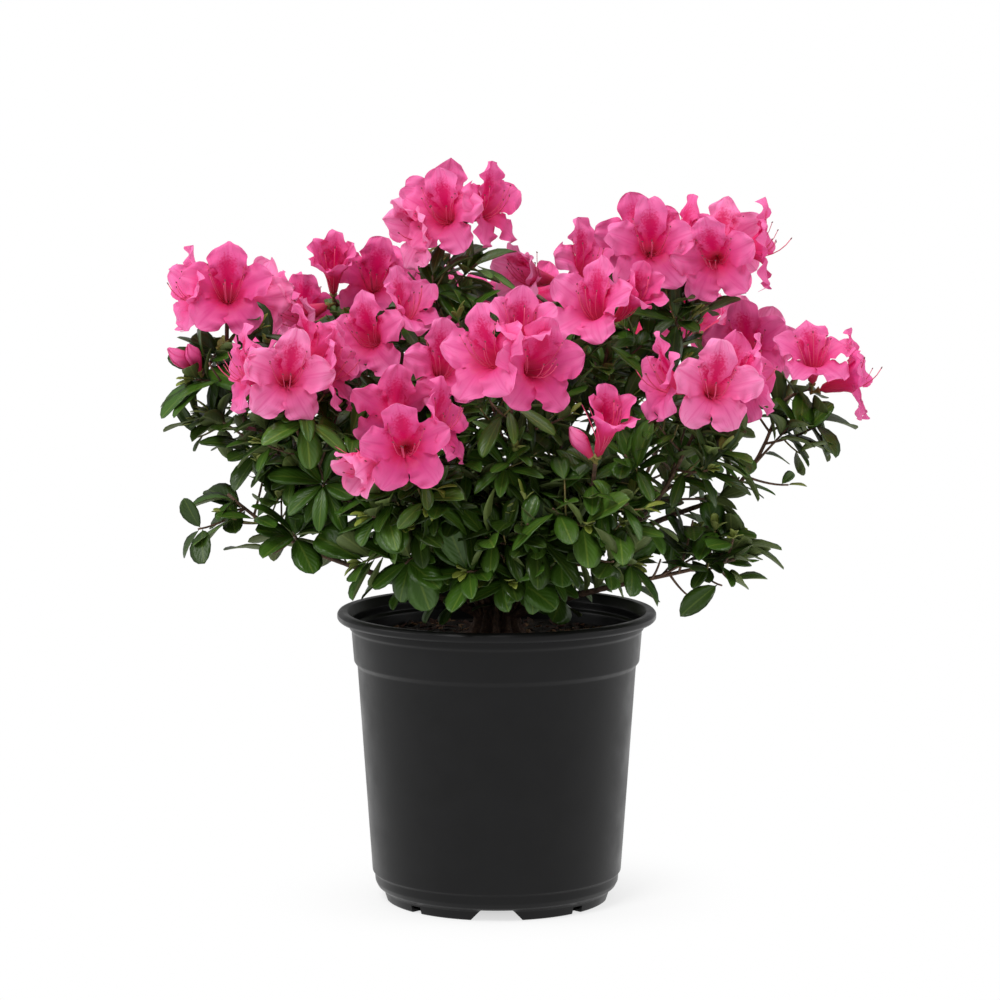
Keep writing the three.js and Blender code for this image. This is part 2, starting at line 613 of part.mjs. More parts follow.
export default shrub;
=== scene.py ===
"""Azalea shrub in a black nursery pot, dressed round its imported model.

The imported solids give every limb, mass of foliage and spray of blossom its place. This script repeats the
rule that grew them and carries it on to finer twigs, real leaf sizes, thin petals and stamens. Some blossoms
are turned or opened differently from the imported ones, a few are added, and three flower heads are moved by
a few millimetres. Tables and sizes are in millimetres and are turned to metres where a mesh is made.
"""
from __future__ import annotations

import json
import logging
import math
from dataclasses import dataclass, field
from enum import Enum
from functools import cached_property
from typing import Any, Iterable, Sequence

import bmesh
import bpy
import numpy as np
from bmesh.types import BMesh
from bpy.types import Material, Mesh, Node, NodeSocket, NodeTree, Object
from mathutils import Matrix, Vector, noise

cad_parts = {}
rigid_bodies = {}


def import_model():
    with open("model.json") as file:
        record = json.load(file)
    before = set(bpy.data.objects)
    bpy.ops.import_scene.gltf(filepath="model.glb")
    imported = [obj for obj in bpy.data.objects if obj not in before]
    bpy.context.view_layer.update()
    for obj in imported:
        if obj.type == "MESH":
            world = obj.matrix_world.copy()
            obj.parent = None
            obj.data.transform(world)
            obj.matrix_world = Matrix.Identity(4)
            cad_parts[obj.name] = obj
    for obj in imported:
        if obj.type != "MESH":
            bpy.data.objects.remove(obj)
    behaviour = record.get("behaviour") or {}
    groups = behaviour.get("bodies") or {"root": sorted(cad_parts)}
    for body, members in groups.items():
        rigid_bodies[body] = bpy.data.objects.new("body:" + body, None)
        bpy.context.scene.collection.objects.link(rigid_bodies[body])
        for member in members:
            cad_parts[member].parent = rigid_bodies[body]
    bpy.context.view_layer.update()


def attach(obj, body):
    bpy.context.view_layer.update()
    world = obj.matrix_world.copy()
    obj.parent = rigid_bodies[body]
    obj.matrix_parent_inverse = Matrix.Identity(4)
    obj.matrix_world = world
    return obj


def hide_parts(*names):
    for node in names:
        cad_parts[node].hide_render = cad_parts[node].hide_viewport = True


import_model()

LOG = logging.getLogger("azalea")
Array = np.ndarray
Point = tuple[float, float, float]
Span = tuple[float, float]
Profile = tuple[Span, ...]

MM = 0.001
BODY = "root"
FULL_TURN = 2 * math.pi
# From each leaf or twig to the next round its stem
GOLDEN_TURN = math.radians(137.508)
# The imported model's gap between two parts, the level of its mix and the foot of its root crown
GAP = 0.3
MIX_TOP = 188.0
CROWN_FOOT = MIX_TOP + GAP
UP = np.array([0.0, 0.0, 1.0])
SIDEWAYS = np.array([1.0, 0.0, 0.0])
# A unit vector that rises more than this counts as upright
NEAR_UPRIGHT = 0.95
# Points of a pattern that are closer than this are one point
WELD = 0.001


class Slot(str, Enum):
    """The record's material slots."""

    POT = "pot_plastic"
    MIX = "potting_mix"
    BARK = "bark"
    FOLIAGE = "foliage"
    BLOSSOM = "blossom"


class LeafAge(Enum):
    """How old a spray's leaves are, which sets their tint."""

    OLD = 0
    GROWN = 1
    FRESH = 2
    SHOOT = 3


class PetalTint(Enum):
    """The depth of a blossom's pink."""

    ROSE = 0
    DEEP = 1
    PALE = 2


# The shrub's plan
@dataclass(frozen=True)
class BoughPlan:
    """Where a bough ends, and how it leaves the crown or its parent."""

    tip: Point
    turn: float = 0.0
    rise: float = 0.0
    parent: str | None = None
    at: float = 0.0


@dataclass(frozen=True)
class Truss:
    """A flower head: its point, and each blossom's turn, tilt and openness."""

    base: Point
    blossoms: tuple[Point, ...]


@dataclass(frozen=True)
class MassPlan:
    """A mass: its stem's end, the half sizes of its space, its twigs, its flower heads and its leafiness."""

    stem: Point
    space: Point
    twigs: int
    trusses: tuple[Truss, ...] = ()
    leafy: float = 1.0


@dataclass(frozen=True)
class Space:
    """An ellipsoid that leaves and twigs keep to, or keep out of: its middle and its half sizes."""

    middle: Point
    half: Point

    def off_middle(self, points: Array) -> Array:
        """Returns how far points lie from the middle, where 1 is on the edge of the space."""
        return np.linalg.norm((points - self.middle) / self.half, axis=-1)

    def holds(self, points: Array, margin: float = 1.0) -> bool:
        """Returns whether points lie in the space, or in the space made larger by a margin."""
        return bool((self.off_middle(points) < margin).all())


# Where the spurs of the boughs and the thin inner stems may reach
INNER_SPACE = Space((0, -14, 264), (142, 128, 62))


# Where the sky shows between the leaves
OPENINGS: tuple[Space, ...] = (
    Space((-204, -40, 306), (30, 60, 10)),
    Space((-156, -40, 243), (24, 60, 9)),
    Space((-200, -40, 220), (90, 90, 24)),
    Space((178, -70, 206), (66, 90, 26)),
    Space((216, -30, 282), (36, 60, 14)),
    Space((176, -40, 322), (14, 60, 12)),
    Space((40, 10, 505), (20, 60, 26)),
    Space((26, 10, 446), (12, 60, 18)),
)

# Leafy tips at each mass's edge: where a twig leaves the mass's stem, and where it ends
WHORLS: dict[str, tuple[tuple[float, Point], ...]] = {
    "far_left": ((0.2, (-198, -43, 350)), (0.7, (-208, -46, 374)), (0.1, (-168, -56, 326))),
    "low_left": ((0.8, (-184, -46, 282)), (0.2, (-140, -62, 268))),
    "mid_left": ((0.1, (-118, -96, 306)),),
    "low_front_left": ((0.02, (-62, -106, 254)), (0.0, (-92, -84, 252)), (0.3, (-84, -120, 288))),
    "low_centre": ((0.1, (-20, -118, 250)), (0.5, (30, -124, 274))),
    "low_front_right": ((0.05, (92, -96, 252)),),
    "low_right": ((0.7, (164, -62, 264)), (0.2, (138, -76, 256))),
    "far_right": ((0.45, (204, -30, 340)), (0.8, (224, -26, 344))),
    "crown_top": ((0.75, (-14, -10, 452)), (0.7, (-62, -8, 446))),
    "right_crown": ((0.8, (174, -12, 432)),),
    "right_mid": ((0.2, (160, -90, 330)), (0.05, (156, -62, 292))),
    "centre_right": ((0.4, (44, -76, 366)),),
}

BOUGHS: dict[str, BoughPlan] = {
    "low_left": BoughPlan((-118, -32, 248), 200, 24),
    "far_left": BoughPlan((-150, -30, 312), 168, 44),
    "low_front_left": BoughPlan((-42, -70, 262), 236, 48),
    "front_centre": BoughPlan((4, -66, 288), 268, 62),
    "low_front_right": BoughPlan((48, -76, 248), 300, 48),
    "low_right": BoughPlan((98, -50, 234), 334, 22),
    "far_right": BoughPlan((150, -22, 286), 8, 40),
    "back_right": BoughPlan((92, 80, 278), 46, 50),
    "back_centre": BoughPlan((-4, 98, 274), 90, 52),
    "back_left": BoughPlan((-90, 80, 278), 132, 50),
    "crown_top": BoughPlan((-30, 0, 340), 150, 82),
    "right_crown": BoughPlan((98, -12, 340), 330, 70),
    "mid_left": BoughPlan((-112, -56, 300), parent="far_left", at=0.5),
    "left_shoulder": BoughPlan((-84, 38, 326), parent="back_left", at=0.4),
    "centre_left": BoughPlan((-50, -30, 310), parent="crown_top", at=0.42),
    "low_centre": BoughPlan((12, -58, 244), parent="front_centre", at=0.3),
    "centre_right": BoughPlan((56, -28, 318), parent="right_crown", at=0.42),
    "back_crown": BoughPlan((24, 48, 322), parent="back_centre", at=0.42),
    "right_mid": BoughPlan((108, -68, 290), parent="far_right", at=0.5),
    "low_back": BoughPlan((26, 92, 240), parent="back_right", at=0.35),
}

MASSES: dict[str, MassPlan] = {
    "far_left": MassPlan((-187, -28, 392), (62, 60, 62), 7, leafy=0.5, trusses=(
        Truss((-186, -25, 428), ((2, 10, 1), (-66, 6, 1), (150, -8, 0.85))),
        Truss((-204, -46, 377), ((-60, 38, 0.05), (-20, 48, 0.05))),
    )),
    "mid_left": MassPlan((-141, -84, 352), (58, 56, 56), 5, (
        Truss((-143, -92, 380), ((6, -2, 1), (-70, 2, 0.95), (120, 34, 0.9), (78, 4, 0.85))),
    )),
    "low_left": MassPlan((-187, -42, 294), (74, 60, 56), 9, leafy=0.3),
    "left_shoulder": MassPlan((-103, 48, 394), (56, 56, 60), 5, (
        Truss((-116, 34, 424), ((2, 48, 0.45), (-50, -22, 0.8))),
        Truss((-88, 62, 430), ((2, 10, 0.9), (160, -6, 0.85))),
    )),
    "centre_left": MassPlan((-66, -46, 372), (54, 54, 54), 5, (
        Truss((-76, -36, 402), ((-26, 0, 0.95), (50, 44, 0.8))),
        Truss((-44, -68, 378), ((18, 14, 0.85),)),
    )),
    "low_front_left": MassPlan((-59, -122, 316), (60, 58, 56), 8, leafy=0.75, trusses=(
        Truss((-61, -142, 342), ((2, -8, 1), (70, 20, 0.9), (-158, 32, 0.85), (-56, -24, 0.45))),
    )),
    "crown_top": MassPlan((-41, 4, 446), (58, 58, 66), 6, (
        Truss((-28, 4, 483), ((-20, 4, 1), (58, 12, 1), (-162, 6, 0.95), (-56, -18, 0.75))),
        Truss((-26, 56, 434), ((168, -20, 0.6),)),
    )),
    "front_centre": MassPlan((10, -110, 362), (56, 54, 58), 6, (
        Truss((12, -126, 392), ((-38, 8, 1), (30, -6, 1), (10, 50, 0.55))),
    )),
    "low_centre": MassPlan((10, -112, 286), (64, 58, 52), 9, leafy=0.7),
    "low_front_right": MassPlan((64, -120, 300), (62, 58, 56), 8, leafy=0.75, trusses=(
        Truss((66, -136, 326), ((22, 56, 0.42), (-62, 52, 0.05))),
    )),
    "centre_right": MassPlan((75, -52, 388), (54, 54, 58), 5, (
        Truss((78, -66, 412), ((-30, 26, 0.85), (44, 44, 0.45))),
    )),
    "back_crown": MassPlan((42, 66, 406), (56, 56, 60), 5, (
        Truss((46, 66, 434), ((44, 24, 0.9), (-44, 12, 0.5))),
        Truss((16, 96, 428), ((156, -22, 0.95), (-116, -32, 0.6))),
    )),
    "right_crown": MassPlan((126, -18, 430), (60, 58, 62), 6, (
        Truss((106, -18, 463), ((0, 0, 1), (-172, 4, 0.85), (120, 6, 0.85))),
        Truss((154, -20, 462), ((-8, -14, 0.95), (82, 0, 1), (168, 6, 0.85))),
    )),
    "right_mid": MassPlan((136, -102, 348), (58, 56, 54), 5, (
        Truss((141, -116, 374), ((8, 0, 1), (-72, 6, 0.85), (96, 8, 0.8), (150, 0, 0.8))),
    )),
    "far_right": MassPlan((197, -12, 350), (62, 60, 62), 8, leafy=0.5, trusses=(
        Truss((220, -18, 366), ((0, 54, 0.95), (80, 8, 1))),
        Truss((180, 22, 392), ((160, -10, 0.85), (-8, 0, 0.9))),
    )),
    "low_right": MassPlan((164, -70, 252), (66, 58, 52), 9, leafy=0.3),
    "back_left": MassPlan((-127, 114, 360), (64, 62, 64), 6, (
        Truss((-146, 112, 392), ((-120, 14, 1), (-50, 30, 0.9), (170, 34, 0.95))),
        Truss((-98, 136, 386), ((176, 8, 1), (112, 34, 0.9))),
    )),
    "back_right": MassPlan((128, 112, 362), (64, 62, 64), 6, (
        Truss((146, 104, 396), ((112, 8, 1), (44, -8, 0.85), (-176, 14, 0.9))),
        Truss((100, 140, 384), ((-172, 8, 1), (150, 20, 0.85))),
    )),
    "back_centre": MassPlan((-6, 140, 364), (62, 60, 64), 7, (
        Truss((-24, 146, 398), ((-150, 14, 1), (-100, 34, 0.9))),
        Truss((28, 160, 380), ((172, 2, 1), (104, 24, 0.95), (178, 62, 0.85))),
    )),
    "low_back": MassPlan((20, 158, 276), (72, 62, 56), 8, leafy=0.8),
}


# Numbers, directions and curves
class SeededNumbers:
    """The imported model's generator, so that the shrub branches the same way here."""

    MASK = 0xFFFFFFFF
    STEP = 0x6D2B79F5

    def __init__(self, seed: int) -> None:
        """Starts the sequence at seed."""
        self.state = seed & self.MASK

    def next(self) -> float:
        """Steps the sequence on and mixes its bits.

        Returns:
            The next number from 0 up to 1.
        """
        self.state = (self.state + self.STEP) & self.MASK
        mixed = ((self.state ^ (self.state >> 15)) * (1 | self.state)) & self.MASK
        mixed = ((mixed + (((mixed ^ (mixed >> 7)) * (61 | mixed)) & self.MASK)) ^ mixed) & self.MASK
        return ((mixed ^ (mixed >> 14)) & self.MASK) / (self.MASK + 1)

    def between(self, low: float, high: float) -> float:
        """Returns the next number from low up to high."""
        return low + (high - low) * self.next()

    def bearing(self) -> float:
        """Returns the next angle anywhere round a full turn."""
        return self.between(0, FULL_TURN)


def unit(vector: Array) -> Array:
    """Returns vector at length 1."""
    return vector / np.linalg.norm(vector)


def heading(turn: float, rise: float) -> Array:
    """Returns a unit vector from a turn counted from +X and a rise above level, in degrees."""
    turn, rise = math.radians(turn), math.radians(rise)
    return np.array([math.cos(turn) * math.cos(rise), math.sin(turn) * math.cos(rise), math.sin(rise)])


def facing(turn: float, tilt: float) -> Array:
    """Returns a unit vector from a turn counted from the front towards +X and a tilt above level."""
    return heading(turn - 90, tilt)


def across_and_up(axis: Array) -> tuple[Array, Array]:
    """Returns two unit vectors square to axis, the second as near to straight up as it can be."""
    across = unit(np.cross(axis, UP if abs(axis[2]) < NEAR_UPRIGHT else SIDEWAYS))
    return across, unit(np.cross(across, axis))


def leaning(along: Array, bearing: float, lean: float) -> Array:
    """Returns the direction that leans away from along by an angle, at a bearing round it."""
    across, up = across_and_up(along)
    return along * math.cos(lean) + (across * math.cos(bearing) + up * math.sin(bearing)) * math.sin(lean)


@dataclass(frozen=True)
class Curve:
    """A quadratic curve through space that is read by its arc length."""

    start: Array
    control: Array
    end: Array
    steps: int = 32

    def point_of(self, t: Array | float) -> Array:
        """Returns the curve's points at its own parameter t."""
        t = np.asarray(t)[..., None]
        return (1 - t) ** 2 * self.start + 2 * t * (1 - t) * self.control + t ** 2 * self.end

    @cached_property
    def reach(self) -> Array:
        """The arc length up to each of the even steps of t."""
        points = self.point_of(np.linspace(0, 1, self.steps + 1))
        return np.concatenate([[0], np.cumsum(np.linalg.norm(np.diff(points, axis=0), axis=1))])

    @property
    def length(self) -> float:
        """The curve's whole length."""
        return float(self.reach[-1])

    def parameter(self, share: float) -> float:
        """Returns t at a share of the arc length."""
        return float(np.interp(share * self.length, self.reach, np.linspace(0, 1, self.steps + 1)))

    def at(self, share: float) -> Array:
        """Returns the point at a share of the arc length."""
        return self.point_of(self.parameter(share))

    def along(self, share: float) -> Array:
        """Returns the unit tangent at a share of the arc length."""
        t = self.parameter(share)
        return unit((1 - t) * (self.control - self.start) + t * (self.end - self.control))

    def rings(self, count: int) -> tuple[Array, Array]:
        """Returns the points and the unit tangents at this many even places."""
        shares = np.linspace(0, 1, count)
        return np.array([self.at(s) for s in shares]), np.array([self.along(s) for s in shares])


def swept(start: Array, away: Array, end: Array, sweep: float) -> Curve:
    """Returns a curve to end that leaves start along away and keeps to it for a share of the distance."""
    return Curve(start, start + away * sweep * float(np.linalg.norm(end - start)), end)


# Joined meshes
@dataclass
class Pattern:
    """A small shape, read once from bmesh: points on its own grid, faces, and each corner's place on it."""

    points: Array
    faces: list[tuple[int, ...]]
    uv: list[Array]
    kinds: Array

    @classmethod
    def read(cls, bm: BMesh, columns: int = 1) -> Pattern:
        """Reads a bmesh whose x runs across it from -1 to 1 and whose y runs along it from 0 to 1.

        Args:
            bm: the shape. It is freed here.
            columns: how many such strips stand side by side, 2 wide each, the last joined to the first.

        Returns:
            The pattern, with each face's material index as its kind.
        """
        layer = bm.faces.layers.int.get("column")
        faces, corners, kinds = [], [], []
        bm.verts.index_update()
        for face in bm.faces:
            column = face[layer] if layer else 0
            faces.append(tuple(v.index for v in face.verts))
            across = [v.co.x - 2 * column + 1 for v in face.verts]
            if columns > 1:
                across = [x % (2 * columns) for x in across]
            corners.append(np.array([(x / 2, v.co.y) for x, v in zip(across, face.verts)]))
            kinds.append(face.material_index)
        points = np.array([tuple(v.co) for v in bm.verts])
        bm.free()
        return cls(points, faces, corners, np.array(kinds))


@dataclass
class JoinedMesh:
    """Many small shapes gathered into one mesh, with a material index for each face."""

    name: str
    points: list[Array] = field(default_factory=list)
    corners: list[Array] = field(default_factory=list)
    sides: list[Array] = field(default_factory=list)
    uv: list[Array] = field(default_factory=list)
    materials: list[Array] = field(default_factory=list)
    count: int = 0

    def add(self, pattern: Pattern, points: Array, tint: int = 0, tint_step: int = 1) -> None:
        """Adds one copy of a pattern with its points moved.

        Args:
            pattern: the shape's faces.
            points: its points in millimetres, one for each of the pattern's.
            tint: which set of materials it takes.
            tint_step: how many materials a set has.
        """
        flat = [index for face in pattern.faces for index in face]
        self.points.append(points)
        self.corners.append(np.array(flat) + self.count)
        self.sides.append(np.array([len(face) for face in pattern.faces]))
        self.uv.append(np.concatenate(pattern.uv))
        self.materials.append(pattern.kinds + tint * tint_step)
        self.count += len(points)

    def build(self, materials: Sequence[Material]) -> Object:
        """Makes the mesh and its object.

        Args:
            materials: the finishes, in the order of the faces' material indexes.

        Returns:
            The object, at the origin, with smooth faces and a UV map.
        """
        points, corners = np.concatenate(self.points) * MM, np.concatenate(self.corners)
        sides, uv = np.concatenate(self.sides), np.concatenate(self.uv)
        mesh = bpy.data.meshes.new(self.name)
        mesh.vertices.add(len(points))
        mesh.vertices.foreach_set("co", points.astype(np.float32).ravel())
        mesh.loops.add(len(corners))
        mesh.loops.foreach_set("vertex_index", corners.astype(np.int32))
        mesh.polygons.add(len(sides))
        starts = np.concatenate([[0], np.cumsum(sides)[:-1]])
        mesh.polygons.foreach_set("loop_start", starts.astype(np.int32))
        mesh.polygons.foreach_set("loop_total", sides.astype(np.int32))
        mesh.polygons.foreach_set("material_index", np.concatenate(self.materials).astype(np.int32))
        mesh.polygons.foreach_set("use_smooth", np.ones(len(sides), dtype=bool))
        layer = mesh.uv_layers.new(name="surface")
        layer.data.foreach_set("uv", uv.astype(np.float32).ravel())
        mesh.update(calc_edges=True)
        return in_scene(self.name, mesh, materials)


def in_scene(name: str, mesh: Mesh, materials: Iterable[Material]) -> Object:
    """Gives a mesh its finishes and puts it into the scene.

    Args:
        name: the object's name.
        mesh: its mesh, in metres.
        materials: its finishes.

    Returns:
        The object, at the origin.
    """
    for material in materials:
        mesh.materials.append(material)
    piece = bpy.data.objects.new(name, mesh)
    bpy.context.scene.collection.objects.link(piece)
    return piece


def object_of(bm: BMesh, name: str, materials: Iterable[Material]) -> Object:
    """Turns a bmesh in millimetres into a smooth object.

    Args:
        bm: the shape. It is freed here.
        name: the piece's name.
        materials: its finishes.

    Returns:
        The object, at the origin.
    """
    bmesh.ops.scale(bm, vec=(MM, MM, MM), verts=bm.verts)
    for face in bm.faces:
        face.smooth = True
    mesh = bpy.data.meshes.new(name)
    bm.to_mesh(mesh)
    bm.free()
    return in_scene(name, mesh, materials)


def climbing_edges(bm: BMesh, least: float) -> list[bmesh.types.BMEdge]:
    """Returns the edges of a shape that rise by more than this from one end to the other."""
    return [edge for edge in bm.edges if abs(edge.verts[0].co.z - edge.verts[1].co.z) > least]


def hand_over(piece: Object, nodes: Iterable[str] = ()) -> None:
    """Ties a finished piece to the frame.

    Args:
        piece: the finished object.
        nodes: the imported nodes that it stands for.
    """
    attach(piece, BODY)
    names = list(nodes)
    if names:
        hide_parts(*names)
    LOG.info("%s: %d faces, stands for %d nodes", piece.name, len(piece.data.polygons), len(names))


# Finishes
def linear(colour: str) -> tuple[float, float, float, float]:
    """Returns an sRGB hex colour such as "#2f5226" as linear red, green, blue and alpha."""
    channels = [int(colour[i:i + 2], 16) / 255 for i in (1, 3, 5)]
    return *(c / 12.92 if c <= 0.04045 else ((c + 0.055) / 1.055) ** 2.4 for c in channels), 1.0


def add_node(tree: NodeTree, kind: str, inputs: dict[str | int, Any] | None = None, **settings: Any) -> Node:
    """Adds a node with its settings and links.

    Args:
        tree: the material's or world's node tree.
        kind: the node's type name, as it goes on after ShaderNode.
        inputs: for each input's name or number, a value, or what to link: a socket, or a node for its first
            output in use.
        settings: its properties, and for a colour ramp stops, which are pairs of position and hex colour.

    Returns:
        The new node.
    """
    node = tree.nodes.new(f"ShaderNode{kind}")
    stops = settings.pop("stops", ())
    for name, value in settings.items():
        setattr(node, name, value)
    for _ in stops[2:]:
        node.color_ramp.elements.new(0.5)
    for element, (position, colour) in zip(node.color_ramp.elements if stops else (), stops):
        element.position, element.color = position, linear(colour)
    for name, value in (inputs or {}).items():
        if isinstance(value, Node):
            value = next(output for output in value.outputs if output.enabled)
        if isinstance(value, NodeSocket):
            tree.links.new(value, node.inputs[name])
        else:
            node.inputs[name].default_value = value
    return node


def new_material(name: str) -> tuple[Material, NodeTree, NodeSocket, Node]:
    """Starts a finish.

    Args:
        name: the finish's name.

    Returns:
        A new material, its node tree, the socket that takes its surface, and the texture coordinates.
    """
    material = bpy.data.materials.new(name)
    material.use_nodes = True
    tree = material.node_tree
    tree.nodes.clear()
    surface = add_node(tree, "OutputMaterial").inputs["Surface"]
    return material, tree, surface, add_node(tree, "TexCoord")


def rib_distance(tree: NodeTree, across: NodeSocket) -> Node:
    """Returns how far a place across a leaf or petal lies from its midrib, up to 0.5 at the margin."""
    off_rib = add_node(tree, "Math", {0: across, 1: 0.5}, operation="SUBTRACT")
    return add_node(tree, "Math", {0: off_rib}, operation="ABSOLUTE")


def thin_skin(tree: NodeTree, surface: NodeSocket, colour: Node, glow: float, skin: dict[str, Any]) -> None:
    """Ends the finish of a leaf or petal, which is glossy outside and lets light through.

    Args:
        tree: the finish's node tree.
        surface: the socket that takes its surface.
        colour: its colour.
        glow: the share of it that light shines through.
        skin: its roughness, IOR and normal.
    """
    gloss = add_node(tree, "BsdfPrincipled", {"Base Color": colour, **skin})
    through = add_node(tree, "BsdfTranslucent", {"Color": colour})
    mix = add_node(tree, "MixShader", {0: glow, 1: gloss, 2: through})
    tree.links.new(mix.outputs["Shader"], surface)


@dataclass(frozen=True)
class PotPlastic:
    """Recycled black polypropylene, injection moulded: a satin skin with faint flow marks and dust."""

    colour: str = "#080809"
    dusty: str = "#0f0f10"
    roughness: float = 0.35
    flow_mark: float = 24.0
    grain: float = 0.7

    def material(self) -> Material:
        """Makes the finish.

        Returns:
            Its material.
        """
        material, tree, surface, place = new_material("pot_plastic_moulded")
        place = place.outputs["Object"]
        flow = add_node(tree, "TexNoise", {
            "Vector": place, "Scale": 1 / (self.flow_mark * MM), "Detail": 4.0, "Roughness": 0.55})
        grain = add_node(tree, "TexNoise", {"Vector": place, "Scale": 1 / (self.grain * MM), "Detail": 2.0})
        colour = add_node(tree, "ValToRGB", {"Fac": flow}, stops=((0.35, self.colour), (0.8, self.dusty)))
        rough = add_node(tree, "MapRange", {
            "Value": flow, "From Min": 0.3, "From Max": 0.75,
            "To Min": self.roughness - 0.05, "To Max": self.roughness + 0.1})
        bump = add_node(tree, "Bump", {"Strength": 0.1, "Distance": 0.1 * MM, "Height": grain})
        shader = add_node(tree, "BsdfPrincipled", {
            "Base Color": colour, "Roughness": rough, "Normal": bump, "IOR": 1.49,
            "Specular IOR Level": 0.22})
        tree.links.new(shader.outputs["BSDF"], surface)
        return material


@dataclass(frozen=True)
class CrumbledMatter:
    """A rough, broken natural surface such as damp mix, wood chips or bark: dull, mottled and pitted."""

    name: str
    dark: str
    middle: str
    light: str
    patch: float
    pit: float
    roughness: float = 0.85
    relief: float = 0.5

    def material(self) -> Material:
        """Makes the finish.

        Returns:
            Its material.
        """
        material, tree, surface, place = new_material(self.name)
        place = place.outputs["Object"]
        patches = add_node(tree, "TexNoise", {
            "Vector": place, "Scale": 1 / (self.patch * MM), "Detail": 6.0, "Roughness": 0.65})
        pits = add_node(tree, "TexNoise", {
            "Vector": place, "Scale": 1 / (self.pit * MM), "Detail": 3.0, "Roughness": 0.6})
        colour = add_node(tree, "ValToRGB", {"Fac": patches}, stops=(
            (0.32, self.dark), (0.52, self.middle), (0.72, self.light)))
        bump = add_node(tree, "Bump", {"Strength": 0.6, "Distance": self.relief * MM, "Height": pits})
        shader = add_node(tree, "BsdfPrincipled", {
            "Base Color": colour, "Roughness": self.roughness, "Normal": bump})
        tree.links.new(shader.outputs["BSDF"], surface)
        return material


@dataclass(frozen=True)
class LeafSkin:
    """An evergreen azalea leaf's waxy skin: a paler midrib, faint side veins, a little light through it."""

    name: str
    blade: str
    blotch: str
    rib: str
    roughness: float = 0.34
    glow: float = 0.1
    patch: float = 9.0
    veins: float = 7.0
    groove: float = 2.0

    def material(self) -> Material:
        """Makes the finish.

        Returns:
            Its material.
        """
        material, tree, surface, place = new_material(self.name)
        uv = add_node(tree, "SeparateXYZ", {"Vector": place.outputs["UV"]}).outputs
        patches = add_node(tree, "TexNoise", {
            "Vector": place.outputs["Object"], "Scale": 1 / (self.patch * MM), "Detail": 3.0})
        blade = add_node(tree, "Mix", {0: patches, 6: linear(self.blade), 7: linear(self.blotch)},
                         data_type="RGBA")
        distance = rib_distance(tree, uv["X"])
        rib = add_node(tree, "MapRange", {
            "Value": distance, "From Min": 0.01, "From Max": 0.06, "To Min": 0.6, "To Max": 0.0},
            interpolation_type="SMOOTHSTEP")
        colour = add_node(tree, "Mix", {0: rib, 6: blade, 7: linear(self.rib)}, data_type="RGBA")
        slanted = add_node(tree, "Math", {0: uv["Y"], 1: distance}, operation="SUBTRACT")
        turns = add_node(tree, "Math", {0: slanted, 1: self.veins * FULL_TURN}, operation="MULTIPLY")
        wave = add_node(tree, "Math", {0: turns}, operation="SINE")
        relief = add_node(tree, "Math", {0: rib, 1: -self.groove, 2: wave}, operation="MULTIPLY_ADD")
        bump = add_node(tree, "Bump", {"Strength": 0.16, "Distance": 0.35 * MM, "Height": relief})
        thin_skin(tree, surface, colour, self.glow, {
            "Roughness": self.roughness, "IOR": 1.42, "Normal": bump})
        return material


class Flare(Enum):
    """Where a lobe carries the crimson flare: across and along it, and how far that reaches."""

    NONE = (0.5, 0.0, 0.0, 0.0)
    UPPER = (0.5, 0.42, 0.36, 0.33)
    AFTER = (0.0, 0.38, 0.34, 0.22)
    BEFORE = (1.0, 0.38, 0.34, 0.22)


